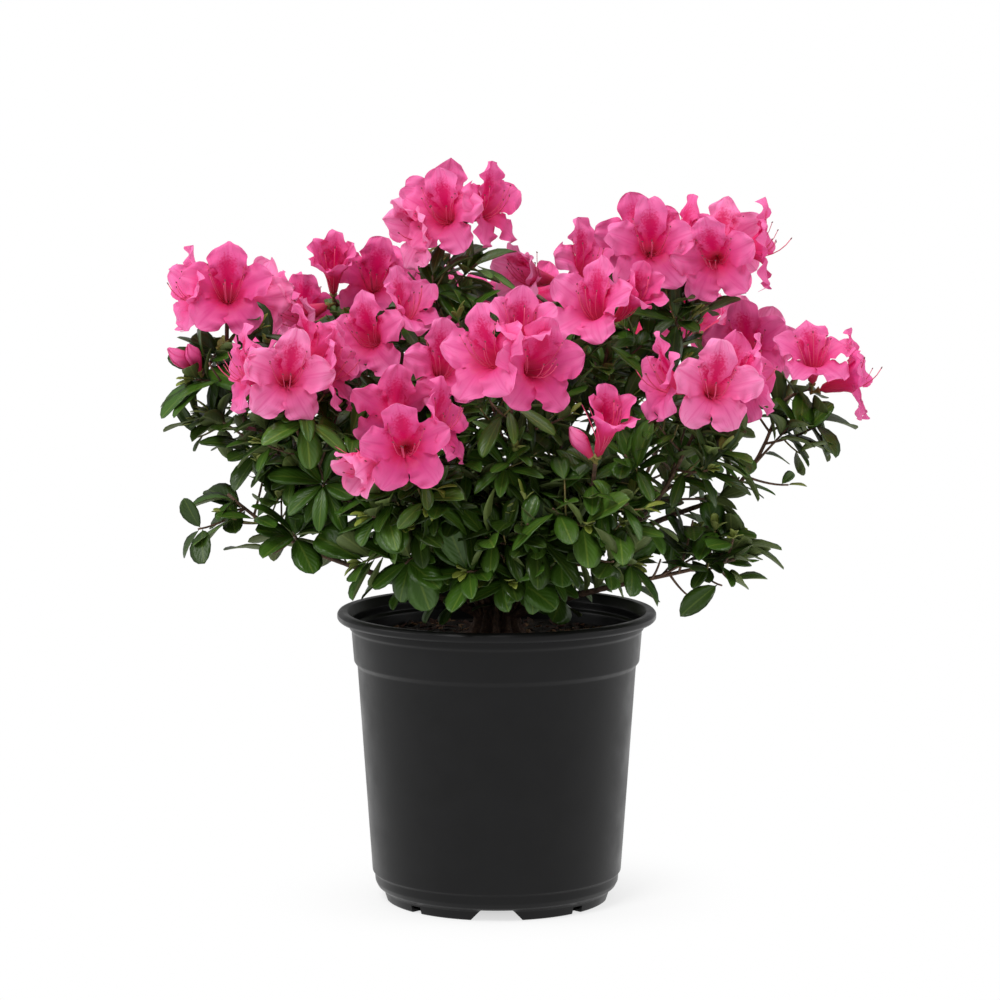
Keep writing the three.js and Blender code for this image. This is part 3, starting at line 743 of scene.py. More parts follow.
@dataclass(frozen=True)
class PetalSkin:
    """An azalea petal: thin, soft and veined, deeper pink in its throat, and light shines through it.

    The flare is a crimson patch that breaks up into spots at its edge and guides bees in. cloud and spot are
    sizes in millimetres, streaks counts the veins across a lobe, and wander shifts them from lobe to lobe.
    """

    name: str
    stops: tuple[tuple[float, str], ...]
    vein: str
    flare: Flare
    flare_colour: str = "#d6055f"
    roughness: float = 0.52
    glow: float = 0.32
    cloud: float = 14.0
    unevenness: float = 0.16
    streaks: float = 15.0
    streaks_along: float = 2.2
    wander: float = 60.0
    spot: float = 1.5
    scatter: float = 1.1

    def material(self) -> Material:
        """Makes the finish.

        Returns:
            Its material.
        """
        material, tree, surface, coordinates = new_material(self.name)
        place, on_lobe = coordinates.outputs["Object"], coordinates.outputs["UV"]
        uv = add_node(tree, "SeparateXYZ", {"Vector": on_lobe}).outputs
        soft = add_node(tree, "TexNoise", {"Vector": place, "Scale": 1 / (self.cloud * MM), "Detail": 3.0})
        shifted = add_node(tree, "Math", {0: soft, 1: self.unevenness, 2: uv["Y"]}, operation="MULTIPLY_ADD")
        length = add_node(tree, "Math", {0: shifted, 1: self.unevenness / 2}, operation="SUBTRACT")
        base = add_node(tree, "ValToRGB", {"Fac": length}, stops=self.stops)
        lengthwise = add_node(tree, "VectorMath", {0: on_lobe, 1: (self.streaks, self.streaks_along, 1.0)},
                              operation="MULTIPLY")
        wander = add_node(tree, "VectorMath", {0: place, 1: (self.wander,) * 3, 2: lengthwise},
                          operation="MULTIPLY_ADD")
        streak = add_node(tree, "TexNoise", {
            "Vector": wander, "Scale": 1.0, "Detail": 3.0, "Roughness": 0.55})
        vein = add_node(tree, "MapRange", {
            "Value": streak, "From Min": 0.48, "From Max": 0.74, "To Min": 0.0, "To Max": 0.45},
            interpolation_type="SMOOTHSTEP")
        distance = rib_distance(tree, uv["X"])
        rib = add_node(tree, "MapRange", {
            "Value": distance, "From Min": 0.0, "From Max": 0.05, "To Min": 0.4, "To Max": 0.0},
            interpolation_type="SMOOTHSTEP")
        deeper = add_node(tree, "Math", {0: vein, 1: rib}, operation="MAXIMUM")
        colour = add_node(tree, "Mix", {0: deeper, 6: base, 7: linear(self.vein)}, data_type="RGBA")
        if self.flare is not Flare.NONE:
            colour = self.flared(tree, coordinates, colour)
        bump = add_node(tree, "Bump", {"Strength": 0.6, "Distance": 0.5 * MM, "Height": streak})
        thin_skin(tree, surface, colour, self.glow, {
            "Roughness": self.roughness, "IOR": 1.36, "Normal": bump})
        return material

    def flared(self, tree: NodeTree, coordinates: Node, colour: Node) -> Node:
        """Lays the flare over a petal's colour.

        Args:
            tree: the petal's node tree.
            coordinates: the texture coordinates.
            colour: the plain petal's colour.

        Returns:
            The colour with the flare on it.
        """
        across, along, width, length = self.flare.value
        centred = add_node(tree, "VectorMath", {0: coordinates.outputs["UV"], 1: (across, along, 0.0)},
                           operation="SUBTRACT")
        scaled = add_node(tree, "VectorMath", {0: centred, 1: (1 / width, 1 / length, 0.0)},
                          operation="MULTIPLY")
        distance = add_node(tree, "VectorMath", {0: scaled}, operation="LENGTH")
        spots = add_node(tree, "TexNoise", {
            "Vector": coordinates.outputs["Object"], "Scale": 1 / (self.spot * MM), "Detail": 1.0})
        edge = add_node(tree, "Math", {0: spots, 1: self.scatter, 2: distance}, operation="MULTIPLY_ADD")
        amount = add_node(tree, "MapRange", {
            "Value": edge, "From Min": 0.8, "From Max": 1.65, "To Min": 0.95, "To Max": 0.0},
            interpolation_type="SMOOTHSTEP")
        return add_node(tree, "Mix", {0: amount, 6: colour, 7: linear(self.flare_colour)}, data_type="RGBA")


# Each age's blade, blotches and rib on the upper side, and then on the under side
LEAF_TINTS: dict[LeafAge, tuple[tuple[str, str, str], ...]] = {
    LeafAge.OLD: (("#263c0e", "#314912", "#526527"), ("#566233", "#4e5b2d", "#74804b")),
    LeafAge.GROWN: (("#325313", "#3f611a", "#657c2e"), ("#606f3c", "#586735", "#808c4e")),
    LeafAge.FRESH: (("#42631e", "#4f7126", "#7a923a"), ("#6f8043", "#67783c", "#8e9a58")),
    LeafAge.SHOOT: (("#86963a", "#939f45", "#a9b25c"), ("#8f9a50", "#9aa45a", "#adb570")),
}
UPPER_ROUGHNESS, UNDER_ROUGHNESS = 0.34, 0.6
LEAF_GLOW, SHOOT_GLOW = 0.1, 0.2

PETAL_STOPS: dict[PetalTint, tuple[tuple[float, str], ...]] = {
    PetalTint.ROSE: (
        (0.0, "#d23a55"), (0.26, "#e0306c"), (0.42, "#ea5096"), (0.7, "#f473b3"), (1.0, "#f784be")),
    PetalTint.DEEP: (
        (0.0, "#cb3652"), (0.28, "#db2a68"), (0.46, "#e4458e"), (0.74, "#ef66a8"), (1.0, "#f378b4")),
    PetalTint.PALE: (
        (0.0, "#d8455e"), (0.24, "#e6407c"), (0.4, "#f063a3"), (0.68, "#f784bc"), (1.0, "#fa9bcb")),
}
PETAL_VEIN = "#e23a8c"


# Pot and growing mix
@dataclass
class NurseryPot:
    """The turned pot, with drain channels and small holes under it. Points are [radius, height]."""

    wall: float = 2.0
    facets: int = 144
    heel: Profile = ((79.2, 0), (80.8, 6.5), (84.8, 9.5), (86.6, 13), (87.0, 18.6), (88.6, 20.2))
    wall_top: Span = (98.8, 167.5)
    collar: Profile = ((101.2, 170.8), (102.9, 192.5), (104.5, 194.5))
    lip: Profile = (
        (104.5, 199.4), (111.6, 199.8), (113, 201.4), (113, 204.5), (111.8, 206.1), (110, 206.7))
    lip_inside: Profile = ((106, 206.3), (102.5, 199.8))
    channels: int = 4
    channel_height: float = 8.0
    channel_top: float = 22.0
    channel_bottom: float = 38.0
    channel_inner: float = 36.0
    hole: tuple[float, float, float] = (9.0, 14.0, 5.0)
    edge: float = 0.7
    edge_share: float = 0.3
    edge_points: int = 5
    flat_reach: float = 3.0
    flat_share: float = 0.45
    overshoot: float = 1.0
    off_seam: float = 0.011
    crease: float = 40.0
    finish: PotPlastic = PotPlastic()

    def inside_profile(self, inset: float) -> list[Span]:
        """Returns the wall's inside, or the mix against it, this far in from the outside."""
        corners = [self.heel[0], self.heel[2], self.heel[-1], self.wall_top, *self.collar]
        return [(radius - inset, max(height, inset)) for radius, height in corners]

    def rounded(self, profile: Sequence[Span]) -> list[Span]:
        """Rounds a profile's corners as a mould does.

        Args:
            profile: points of radius and height.

        Returns:
            The profile with a small curve at each corner, and a point beside it that keeps the flats flat.
        """
        points = [profile[0]]
        for before, corner, after in zip(profile, profile[1:], profile[2:]):
            here = np.array(corner)
            arms = [np.array(end) - here for end in (before, after)]
            spans = [float(np.linalg.norm(arm)) for arm in arms]
            reach = min(self.edge, self.edge_share * min(spans))
            first, last = (here + arm / span * reach for arm, span in zip(arms, spans))
            lead, trail = (here + arm / span * min(reach * self.flat_reach, self.flat_share * span)
                           for arm, span in zip(arms, spans))
            turn = Curve(first, here, last).point_of(np.linspace(0, 1, self.edge_points))
            points += [tuple(lead), *(tuple(point) for point in turn), tuple(trail)]
        return [*points, profile[-1]]

    def turned(self, profile: Sequence[Span]) -> BMesh:
        """Spins a profile that starts and ends on the axis.

        Args:
            profile: points of radius and height.

        Returns:
            The closed shape, with its faces pointing out.
        """
        bm = bmesh.new()
        points = [bm.verts.new((radius, 0, height)) for radius, height in profile]
        edges = [bm.edges.new(pair) for pair in zip(points, points[1:])]
        bmesh.ops.spin(bm, geom=points + edges, cent=(0, 0, 0), axis=(0, 0, 1), dvec=(0, 0, 0),
                       angle=FULL_TURN, steps=self.facets, use_merge=True)
        bmesh.ops.remove_doubles(bm, verts=bm.verts, dist=0.01)
        bmesh.ops.recalc_face_normals(bm, faces=bm.faces)
        return bm

    def channel(self, turn: float, extra: float) -> BMesh:
        """Makes a drain channel under the floor, wider at the bottom and open through the heel.

        Args:
            turn: its bearing.
            extra: how much larger it is all round, for the floor that roofs it.

        Returns:
            The channel as a solid.
        """
        bm = bmesh.new()
        bmesh.ops.create_cube(bm, size=1)
        outer, inner = self.heel[-1][0] + extra + self.overshoot, self.channel_inner - extra
        for vert in bm.verts:
            high = vert.co.z > 0
            half = (self.channel_top if high else self.channel_bottom) / 2 + extra
            height = self.channel_height + extra if high else -self.overshoot
            vert.co = ((outer if vert.co.x > 0 else inner), math.copysign(half, vert.co.y), height)
        bmesh.ops.rotate(bm, verts=bm.verts, matrix=Matrix.Rotation(turn, 3, "Z"))
        return bm

    def drain_hole(self, turn: float) -> BMesh:
        """Makes the cutter of a small hole through the heel.

        Args:
            turn: its bearing.

        Returns:
            The cutter, which reaches as far under the pot as into it.
        """
        bm = bmesh.new()
        width, depth, height = self.hole
        bmesh.ops.create_cube(bm, size=1)
        bmesh.ops.scale(bm, vec=(depth, width, height * 2), verts=bm.verts)
        bmesh.ops.translate(bm, vec=(self.heel[0][0], 0, 0), verts=bm.verts)
        bmesh.ops.rotate(bm, verts=bm.verts, matrix=Matrix.Rotation(turn, 3, "Z"))
        return bm

    @staticmethod
    def combine(target: Object, others: list[Object], operation: str) -> None:
        """Joins or cuts a shape by others, which are then deleted.

        Args:
            target: the shape that is changed.
            others: the shapes that it is joined to or cut by.
            operation: UNION, DIFFERENCE or INTERSECT.
        """
        for other in others:
            modifier = target.modifiers.new("combine", "BOOLEAN")
            modifier.operation, modifier.object, modifier.solver = operation, other, "EXACT"
            graph = bpy.context.evaluated_depsgraph_get()
            mesh = bpy.data.meshes.new_from_object(target.evaluated_get(graph))
            target.modifiers.clear()
            target.data = mesh
            bpy.data.objects.remove(other)

    def build(self) -> None:
        """Makes the pot."""
        outside = [(0, 0), *self.heel, self.wall_top, *self.collar, *self.lip]
        inside = [*self.lip_inside, *reversed(self.inside_profile(self.wall)), (0, self.wall)]
        pot = object_of(self.turned(self.rounded(outside + inside)), "nursery_pot", [self.finish.material()])
        within = [(radius - 0.5, height) for radius, height in self.heel]
        envelope_profile = [(0, 0), *within, (0, self.heel[-1][1])]
        turns = [FULL_TURN * i / self.channels for i in range(self.channels)]
        halfway = FULL_TURN / self.channels / 2
        roofs = []
        for turn in turns:
            roof = object_of(self.channel(turn, self.wall), "roof", [])
            envelope = self.turned(envelope_profile)
            bmesh.ops.rotate(envelope, verts=envelope.verts, matrix=Matrix.Rotation(self.off_seam, 3, "Z"))
            self.combine(roof, [object_of(envelope, "envelope", [])], "INTERSECT")
            roofs.append(roof)
        self.combine(pot, roofs, "UNION")
        cutters = [object_of(self.channel(turn, 0), "channel", []) for turn in turns]
        cutters += [object_of(self.drain_hole(turn + halfway), "hole", []) for turn in turns]
        self.combine(pot, cutters, "DIFFERENCE")
        pot.data.shade_smooth()
        pot.data.set_sharp_from_angle(angle=math.radians(self.crease))
        hand_over(pot, ["pot"])


@dataclass
class PottingMix:
    """The growing mix, crumbly on top, with chips of bark lying on it in finishes dealt out at random."""

    pot: NurseryPot
    finish: CrumbledMatter
    chip_finishes: Sequence[CrumbledMatter]
    gap: float = 2.3
    edge_radius: float = 100.4
    edge_drop: float = 3.0
    level_radius: float = 36.0
    lump: float = 9.0
    relief: float = 2.4
    settled: float = 6.0
    sunk: float = 1.5
    rings: int = 46
    chips: int = 620
    chip_seed: int = 71
    chip_places: Span = (0.04, 0.93)
    chip_sizes: Profile = ((3, 11), (2, 5), (0.8, 2.2))
    chip_tilt: float = 0.5
    chip_skew: float = 0.25

    def surface(self, x: float, y: float) -> float:
        """Reads the crumbly top of the mix.

        Args:
            x: how far to the right of the pot's middle.
            y: how far behind it.

        Returns:
            Its height there.
        """
        radius = math.hypot(x, y)
        outward = max(0.0, radius - self.level_radius) / (self.edge_radius - self.level_radius)
        place = Vector((x, y, 3.0)) / self.lump
        rough = noise.fractal(place, 0.9, 2.1, 4)
        settle = min(1.0, max(0.0, (self.edge_radius - radius) / self.settled))
        return MIX_TOP - self.edge_drop * outward + self.relief * rough * settle - self.sunk

    def build(self) -> None:
        """Makes the filling of the pot."""
        floor = self.pot.channel_height + self.gap + 0.2
        wall = [(radius, max(height, floor)) for radius, height in self.pot.inside_profile(self.gap)[1:5]]
        foot = (wall[0][0] - 2.0, floor)
        rings = np.linspace(self.edge_radius - 1.0, 2, self.rings)
        top = [(float(radius), MIX_TOP) for radius in rings]
        edge = (self.edge_radius - 0.6, MIX_TOP - self.edge_drop)
        bm = self.pot.turned([(0, floor), foot, *wall, edge, *top, (0, MIX_TOP)])
        for vert in bm.verts:
            if vert.co.z > MIX_TOP - 0.5:
                vert.co.z = self.surface(vert.co.x, vert.co.y)
        hand_over(object_of(bm, "mix_filling", [self.finish.material()]), ["potting_mix"])

    def build_chips(self) -> None:
        """Scatters chips of bark over the mix."""
        bm = bmesh.new()
        bmesh.ops.create_cube(bm, size=1)
        bmesh.ops.bevel(bm, geom=bm.edges[:], offset=0.16, offset_type="OFFSET", segments=1,
                        profile=0.5, affect="EDGES", material=-1)
        pattern = Pattern.read(bm)
        random = SeededNumbers(self.chip_seed)
        joined = JoinedMesh("bark_chips")
        for _ in range(self.chips):
            radius = self.edge_radius * math.sqrt(random.between(*self.chip_places))
            bearing = random.bearing()
            size = np.array([random.between(*span) for span in self.chip_sizes])
            turn = Matrix.Rotation(random.bearing(), 3, "Z")
            for axis in ("Y", "X"):
                turn = turn @ Matrix.Rotation(random.between(-self.chip_tilt, self.chip_tilt), 3, axis)
            x, y = radius * math.cos(bearing), radius * math.sin(bearing)
            skew = 1 + self.chip_skew * np.sin(pattern.points[:, [1, 2, 0]] * 5.0 + bearing)
            points = (pattern.points * size * skew) @ np.array(turn).T
            place = [x, y, self.surface(x, y) + 0.5]
            joined.add(pattern, points + place, int(random.between(0, len(self.chip_finishes))))
        hand_over(joined.build([finish.material() for finish in self.chip_finishes]))


# Limbs
@dataclass(frozen=True)
class BarkRelief:
    """How far bark stands out, as shares of the limb's radius: long low ridges, fine scales and knots."""

    ridge: float = 0.1
    scale: float = 0.05
    knot: float = 0.35

    def stands(self, point: Vector, along: float, radius: float) -> float:
        """Works out the relief at a point of a limb.

        Args:
            point: the place on the smooth limb.
            along: how far along the limb it is.
            radius: the limb's radius there.

        Returns:
            How far the bark stands out there.
        """
        ridges = noise.noise(Vector((point.x * 0.55, point.y * 0.55, point.z * 0.12)))
        scales = noise.noise(point * 0.9)
        knots = noise.noise(Vector((along * 0.09, radius, 7.0))) - 0.25
        return radius * (self.ridge * ridges + self.scale * scales + self.knot * max(0.0, knots))


@dataclass
class Limbs:
    """The root crown and the boughs, with the relief of their bark."""

    pot: NurseryPot
    finish: CrumbledMatter
    base_radius: float = 3.4
    fork_radius: float = 2.6
    tip_radius: float = 1.6
    sweep: float = 0.45
    start_radius: float = 10.0
    start_height: float = 8.8
    start_lift: float = 13.2
    fork_along: float = 0.3
    crown_profile: Profile = ((30, 0), (27, 2.5), (23, 8), (22, 14), (20, 22), (12, 30))
    crown_height: float = 34.0
    waist: float = 0.5
    buttress: float = 0.26
    buttress_width: float = 0.2
    burl: float = 0.1
    crust: float = 0.05
    sides: int = 16
    ring_spacing: float = 2.5
    collar: float = 0.35
    collar_length: float = 5.0
    taper: float = 0.8
    relief: BarkRelief = BarkRelief()
    curves: dict[str, Curve] = field(default_factory=dict)

    @cached_property
    def bark(self) -> Material:
        """The finish of the crown and the boughs as one material."""
        return self.finish.material()

    def plan(self) -> None:
        """Works out each bough's curve, parents before what forks from them."""
        for name, plan in BOUGHS.items():
            end = np.array(plan.tip)
            if plan.parent:
                parent = self.curves[plan.parent]
                start = parent.at(plan.at)
                away = unit(parent.along(plan.at) * self.fork_along + unit(end - start))
            else:
                away = heading(plan.turn, plan.rise)
                start = np.array([away[0], away[1], 0]) * self.start_radius
                start[2] = CROWN_FOOT + self.start_height + self.start_lift * away[2]
            self.curves[name] = swept(start, away, end, self.sweep)

    def build_bough(self, name: str) -> None:
        """Makes one bough by bending a tapering cylinder along its curve.

        Args:
            name: the bough.
        """
        curve = self.curves[name]
        base = self.fork_radius if BOUGHS[name].parent else self.base_radius
        cuts = int(curve.length / self.ring_spacing)
        bm = bmesh.new()
        bmesh.ops.create_cone(bm, cap_ends=True, segments=self.sides, radius1=1, radius2=1, depth=1)
        bmesh.ops.subdivide_edges(bm, edges=climbing_edges(bm, 0.5), cuts=cuts)
        frames = [(curve.at(s), curve.along(s)) for s in np.linspace(0, 1, cuts + 2)]
        for vert in bm.verts:
            step = round((vert.co.z + 0.5) * (cuts + 1))
            centre, along = frames[step]
            across, up = across_and_up(along)
            share = step / (cuts + 1)
            collar = 1 + self.collar * math.exp(-share * curve.length / self.collar_length)
            radius = (base + (self.tip_radius - base) * share ** self.taper) * collar
            spoke = across * vert.co.x + up * vert.co.y
            place = Vector(centre + spoke * radius)
            vert.co = place + Vector(spoke) * self.relief.stands(place, share * curve.length, radius)
        bmesh.ops.recalc_face_normals(bm, faces=bm.faces)
        hand_over(object_of(bm, f"bark_{name}", [self.bark]), [f"bough_{name}"])

    def build_crown(self) -> None:
        """Makes the root crown that the boughs leave from."""
        corners = [(radius, CROWN_FOOT + height) for radius, height in self.crown_profile]
        bm = self.pot.turned([(0, CROWN_FOOT), *corners, (0, CROWN_FOOT + self.crown_height)])
        bmesh.ops.subdivide_edges(bm, edges=climbing_edges(bm, 1.0), cuts=4)
        turns = [math.radians(plan.turn) for plan in BOUGHS.values() if not plan.parent]
        for vert in bm.verts:
            if vert.co.z > CROWN_FOOT + 0.5:
                bearing = math.atan2(vert.co.y, vert.co.x)
                offsets = (math.remainder(bearing - turn, FULL_TURN) for turn in turns)
                buttress = max(math.exp(-((offset / self.buttress_width) ** 2)) for offset in offsets)
                burl = noise.noise(Vector((math.cos(bearing) * 2.5, math.sin(bearing) * 2.5,
                                           vert.co.z * 0.05)))
                crust = noise.noise(vert.co * 0.35)
                vert.co.xy *= self.waist + self.buttress * buttress + self.burl * burl + self.crust * crust
        hand_over(object_of(bm, "bark_root_crown", [self.bark]), ["root_crown"])

    def build(self) -> None:
        """Makes the crown and every bough."""
        self.build_crown()
        for name in BOUGHS:
            self.build_bough(name)


# Blossom
@dataclass(frozen=True)
class Bloom:
    """One blossom of a truss."""

    mass: str
    base: Array
    axis: Array
    open: float
    size: float
    spin: float
    tint: PetalTint


@dataclass(frozen=True)
class BudShape:
    """A closed bud: a spindle with its petals wound round each other."""

    length: float = 33.0
    tube: float = 0.4
    neck: float = 2.3
    swell: float = 4.4
    taper: int = 5
    tip: float = 0.35
    overlap: float = 0.55
    winding: float = 1.3
    bulge: float = 0.9
    size: float = 0.85


@dataclass(frozen=True)
class FunnelShape:
    """An open blossom's tube and how it bends out into its face. Angles are in degrees from its axis."""

    length: float = 27.0
    radius: float = 2.6
    foot: float = 0.4
    angle: float = 13.0
    bend_start: float = 13.0
    bend_length: float = 25.0
    face: float = 80.0
    tip: float = 12.0


@dataclass(frozen=True)
class LobeShape:
    """A lobe's outline and its waves. Angles are in radians.

    leans, stretches and pleats have a value for each lobe, from the upper one round. A pair holds the least
    and the most of what each lobe draws. A pace is the angle that a wave runs through across or along it.
    """

    length: float = 25.2
    half_width: float = 14.0
    leans: tuple[float, ...] = (-0.4, -0.22, 0.2, 0.2, -0.22)
    stretches: tuple[float, ...] = (1.07, 0.98, 0.91, 0.91, 0.98)
    pleats: tuple[float, ...] = (0.8, 0.8, 0.4, 0.4, 0.8)
    lean: Span = (-0.16, 0.16)
    curl: Span = (-0.4, 0.85)
    breadth: Span = (0.94, 1.1)
    broadest: Span = (0.5, 0.6)
    bluntness: float = 0.57
    ruffle: float = 3.1
    ruffle_pace: Span = (12, 19)
    frill: float = 0.075
    tip_wave: float = 1.5
    cup: Span = (-5.2, 2.2)
    crease: float = 1.5
    lap: float = 1.7
    sway: Span = (-2.2, 2.2)

    def freed(self, t: Array) -> Array:
        """Returns how free of the tube the lobe is at its points, from 0 to 1."""
        return np.clip(t * 3.0, 0, 1)

    def waves(self, number: int, s: Array, t: Array, random: SeededNumbers) -> tuple[Array, Array, Array]:
        """Draws a lobe's waves and reads them at its points.

        Args:
            number: the lobe, counted from the upper one.
            s: the points' places across it, from -1 to 1.
            t: their places along it, from 0 at the tube to 1 at the tip.
            random: draws the waves.

        Returns:
            How much wider the frill makes it, how far it sways sideways and how far it stands inwards.
        """
        free = self.freed(t)
        # The fifth bearing isn't used, and is drawn so that the draws after it stay the same
        right, left, tip_shift, pleat_shift = [random.bearing() for _ in range(5)][:4]
        side = np.where(s > 0, right, left)
        pace = np.where(s > 0, random.between(*self.ruffle_pace), random.between(*self.ruffle_pace))
        start = np.clip(t * 2.2, 0, 1)
        ruffle = self.ruffle * np.abs(s) ** 1.8 * np.sin(t * pace + side) * start
        frill = self.frill * np.abs(s) ** 3 * np.sin(t * pace + side + 1.6) * free
        tip = self.tip_wave * t ** 3 * np.sin(3.2 * s + tip_shift)
        pleat = self.pleats[number] * np.sin(7.5 * s + 2.5 * t + pleat_shift) * free
        cup = random.between(*self.cup) * s ** 2 * t
        crease = -self.crease * np.exp(-(s / 0.17) ** 2) * free * (1 - 0.7 * t)
        lap = self.lap * s * free * (1 - 0.45 * t)
        sway = random.between(*self.sway) * t ** 2
        return 1 + frill, sway, ruffle + tip + pleat + cup + crease + lap


@dataclass(frozen=True)
class StamenShape:
    """The stamens and the pistil: threads that spread, sag a little and curve up to a bead at the tip."""

    count: int = 6
    lengths: Span = (36, 49)
    pistil_length: float = 54.0
    thickness: float = 0.36
    pistil_thickness: float = 0.5
    spacing: float = 0.62
    scatter: float = 0.3
    foot: float = 0.6
    spread: float = 13
    sag: float = 3.5
    rise: float = 15
    sides: int = 5
    rows: int = 8
    bead: tuple[float, ...] = (0.1, 0.35, 0.44, 0.46, 0.44, 0.35, 0.1)


@dataclass
class Blossom:
    """All the blossoms: joined corollas, stamens, pistils and green parts."""

    seed: int = 310
    form_seed: int = 4000
    least_size: float = 0.9
    most_size: float = 1.01
    spin: float = 0.2
    lift: float = 12.0
    sink: float = 4.0
    bud_below: float = 0.3
    stamens_above: float = 0.4
    lift_above: float = 0.6
    lobes: int = 5
    across: int = 12
    tube_rows: int = 8
    lobe_rows: int = 15
    lobe_fill: float = 0.99
    row_spread: float = 0.45
    pedicel: float = 6.0
    inmost: float = 0.3
    bud: BudShape = BudShape()
    funnel: FunnelShape = FunnelShape()
    lobe: LobeShape = LobeShape()
    stamen: StamenShape = StamenShape()
    green_sides: int = 7
    green_reach: tuple[float, ...] = (-1.5, 0.5, 2.0, 3.6, 4.8, 5.8, 6.2)
    green_radii: tuple[float, ...] = (1.3, 1.2, 1.2, 1.5, 2.6, 3.1, 2.9)
    blooms: list[Bloom] = field(default_factory=list)

    def plan(self) -> None:
        """Lists the blossoms of every mass and draws each one's spin, size and tint."""
        for index, name in enumerate(BOUGHS):
            trusses = MASSES[name].trusses
            if not trusses:
                continue
            random = SeededNumbers(self.seed + index)
            for truss in trusses:
                for turn, tilt, opened in truss.blossoms:
                    spin = random.between(-self.spin, self.spin)
                    size = random.between(self.least_size, self.most_size)
                    tint = PetalTint(int(random.between(0, len(PetalTint))))
                    lift = self.lift * (1 - abs(tilt) / 90) if opened > self.lift_above else 0.0
                    base = np.array(truss.base) - UP * self.sink * lift / self.lift
                    axis = facing(turn, tilt + lift)
                    self.blooms.append(Bloom(name, base, axis, opened, size, spin, tint))

    def corolla_pattern(self) -> Pattern:
        """Makes strips of faces that are joined side by side along the tube and free along the lobes.

        Returns:
            The pattern. Its kinds follow the order of Flare.
        """
        kinds = list(Flare)
        flares = {0: Flare.UPPER, 1: Flare.AFTER, self.lobes - 1: Flare.BEFORE}
        bm = bmesh.new()
        layer = bm.faces.layers.int.new("column")
        rows = self.tube_rows + self.lobe_rows
        for lobe in range(self.lobes):
            before = set(bm.faces)
            made = bmesh.ops.create_grid(bm, x_segments=self.across, y_segments=rows, size=1)
            for vert in made["verts"]:
                along = (vert.co.y + 1) / 2
                free = along * rows > self.tube_rows + 0.5
                vert.co = (vert.co.x * (self.lobe_fill if free else 1) + 2 * lobe, along, 0)
            for face in set(bm.faces) - before:
                face[layer] = lobe
                face.material_index = kinds.index(flares.get(lobe, Flare.NONE))
            tip = [v for v in made["verts"] if v.co.y > 1 - WELD]
            bmesh.ops.pointmerge(bm, verts=tip, merge_co=(2 * lobe, 1, 0))
        bmesh.ops.remove_doubles(bm, verts=bm.verts, dist=WELD)
        first = {round(v.co.y, 4): v for v in bm.verts if v.co.x < -1 + WELD}
        last = {v: first[round(v.co.y, 4)] for v in bm.verts
                if v.co.x > 2 * self.lobes - 1 - WELD and round(v.co.y, 4) in first}
        bmesh.ops.weld_verts(bm, targetmap=last)
        return Pattern.read(bm, self.lobes)

    @cached_property
    def lobe_shares(self) -> Array:
        """How far along its lobe each row of the lobe lies, closer together at the tip."""
        x = np.linspace(0, 1, self.lobe_rows + 1)
        return self.row_spread * x + (1 - self.row_spread) * np.sin(x * math.pi / 2)

    @cached_property
    def row_shares(self) -> Array:
        """How far along its lobe each row lies, which is 0 all along the tube."""
        return np.concatenate([np.zeros(self.tube_rows), self.lobe_shares])

    def profile(self, bloom: Bloom, flare: float, curl: float, stretch: float) -> tuple[Array, Array, Array]:
        """Follows a lobe from the foot of the tube to its tip.

        Args:
            bloom: the blossom.
            flare: how much further than usual the lobe bends out, in radians.
            curl: how much its tip bends back, in radians.
            stretch: its length as a share of the usual.

        Returns:
            At each row: the distance from the axis, the reach along it, and the angle from it.
        """
        bud, funnel, opened = self.bud, self.funnel, bloom.open
        tube, lobe = np.linspace(0, funnel.length, self.tube_rows + 1), self.lobe_shares[1:]
        if opened < self.bud_below:
            place = np.concatenate([tube / funnel.length * bud.tube, bud.tube + (1 - bud.tube) * lobe])
            swell = bud.neck + bud.swell * np.sin(math.pi * place ** 1.35)
            out = swell * (1 - place ** bud.taper) + bud.tip
            return out, self.pedicel + bud.length * place, np.zeros(len(place))
        reach = np.concatenate([tube, funnel.length + lobe * self.lobe.length * stretch])
        spread = np.clip((reach - funnel.bend_start) / funnel.bend_length, 0, 1)
        spread = spread * spread * (3 - 2 * spread)
        wide = math.radians(funnel.face) * min(1.0, opened * 1.06) ** 1.4
        narrow = math.radians(funnel.angle) * (0.4 + 0.6 * opened)
        angle = narrow * (1 - spread) + (wide + flare * opened) * spread
        angle = angle + (math.radians(funnel.tip) + curl) * opened * self.row_shares ** 2.5
        middle = (angle[1:] + angle[:-1]) / 2
        out = funnel.radius + np.concatenate([[0], np.cumsum(np.sin(middle) * np.diff(reach))])
        along = self.pedicel + np.concatenate([[0], np.cumsum(np.cos(middle) * np.diff(reach))])
        out[0] = funnel.foot
        return out, along, angle

    def half_widths(self, bloom: Bloom, radii: Array, widest: float, broadest: float) -> Array:
        """Works out a lobe's half width at each row, as an arc round the blossom's axis.

        Args:
            bloom: the blossom.
            radii: each row's distance from the axis.
            widest: the lobe's greatest half width.
            broadest: where that is, as a share of the lobe's length.

        Returns:
            The half widths.
        """
        shape, share = self.lobe, self.row_shares
        joined = math.pi / self.lobes
        if bloom.open < self.bud_below:
            return radii * (joined + self.bud.overlap * np.sin(shape.freed(share) * math.pi / 2))
        throat = radii[self.tube_rows] * joined
        rise = np.sin(np.clip(share / broadest, 0, 1) * math.pi / 2) ** 0.85
        swell = throat + (widest - throat) * rise
        past = np.clip((share - broadest) / (1 - broadest), 0, 1)
        return np.where(share > 0, swell * (1 - past ** 2.0) ** shape.bluntness, radii * joined)

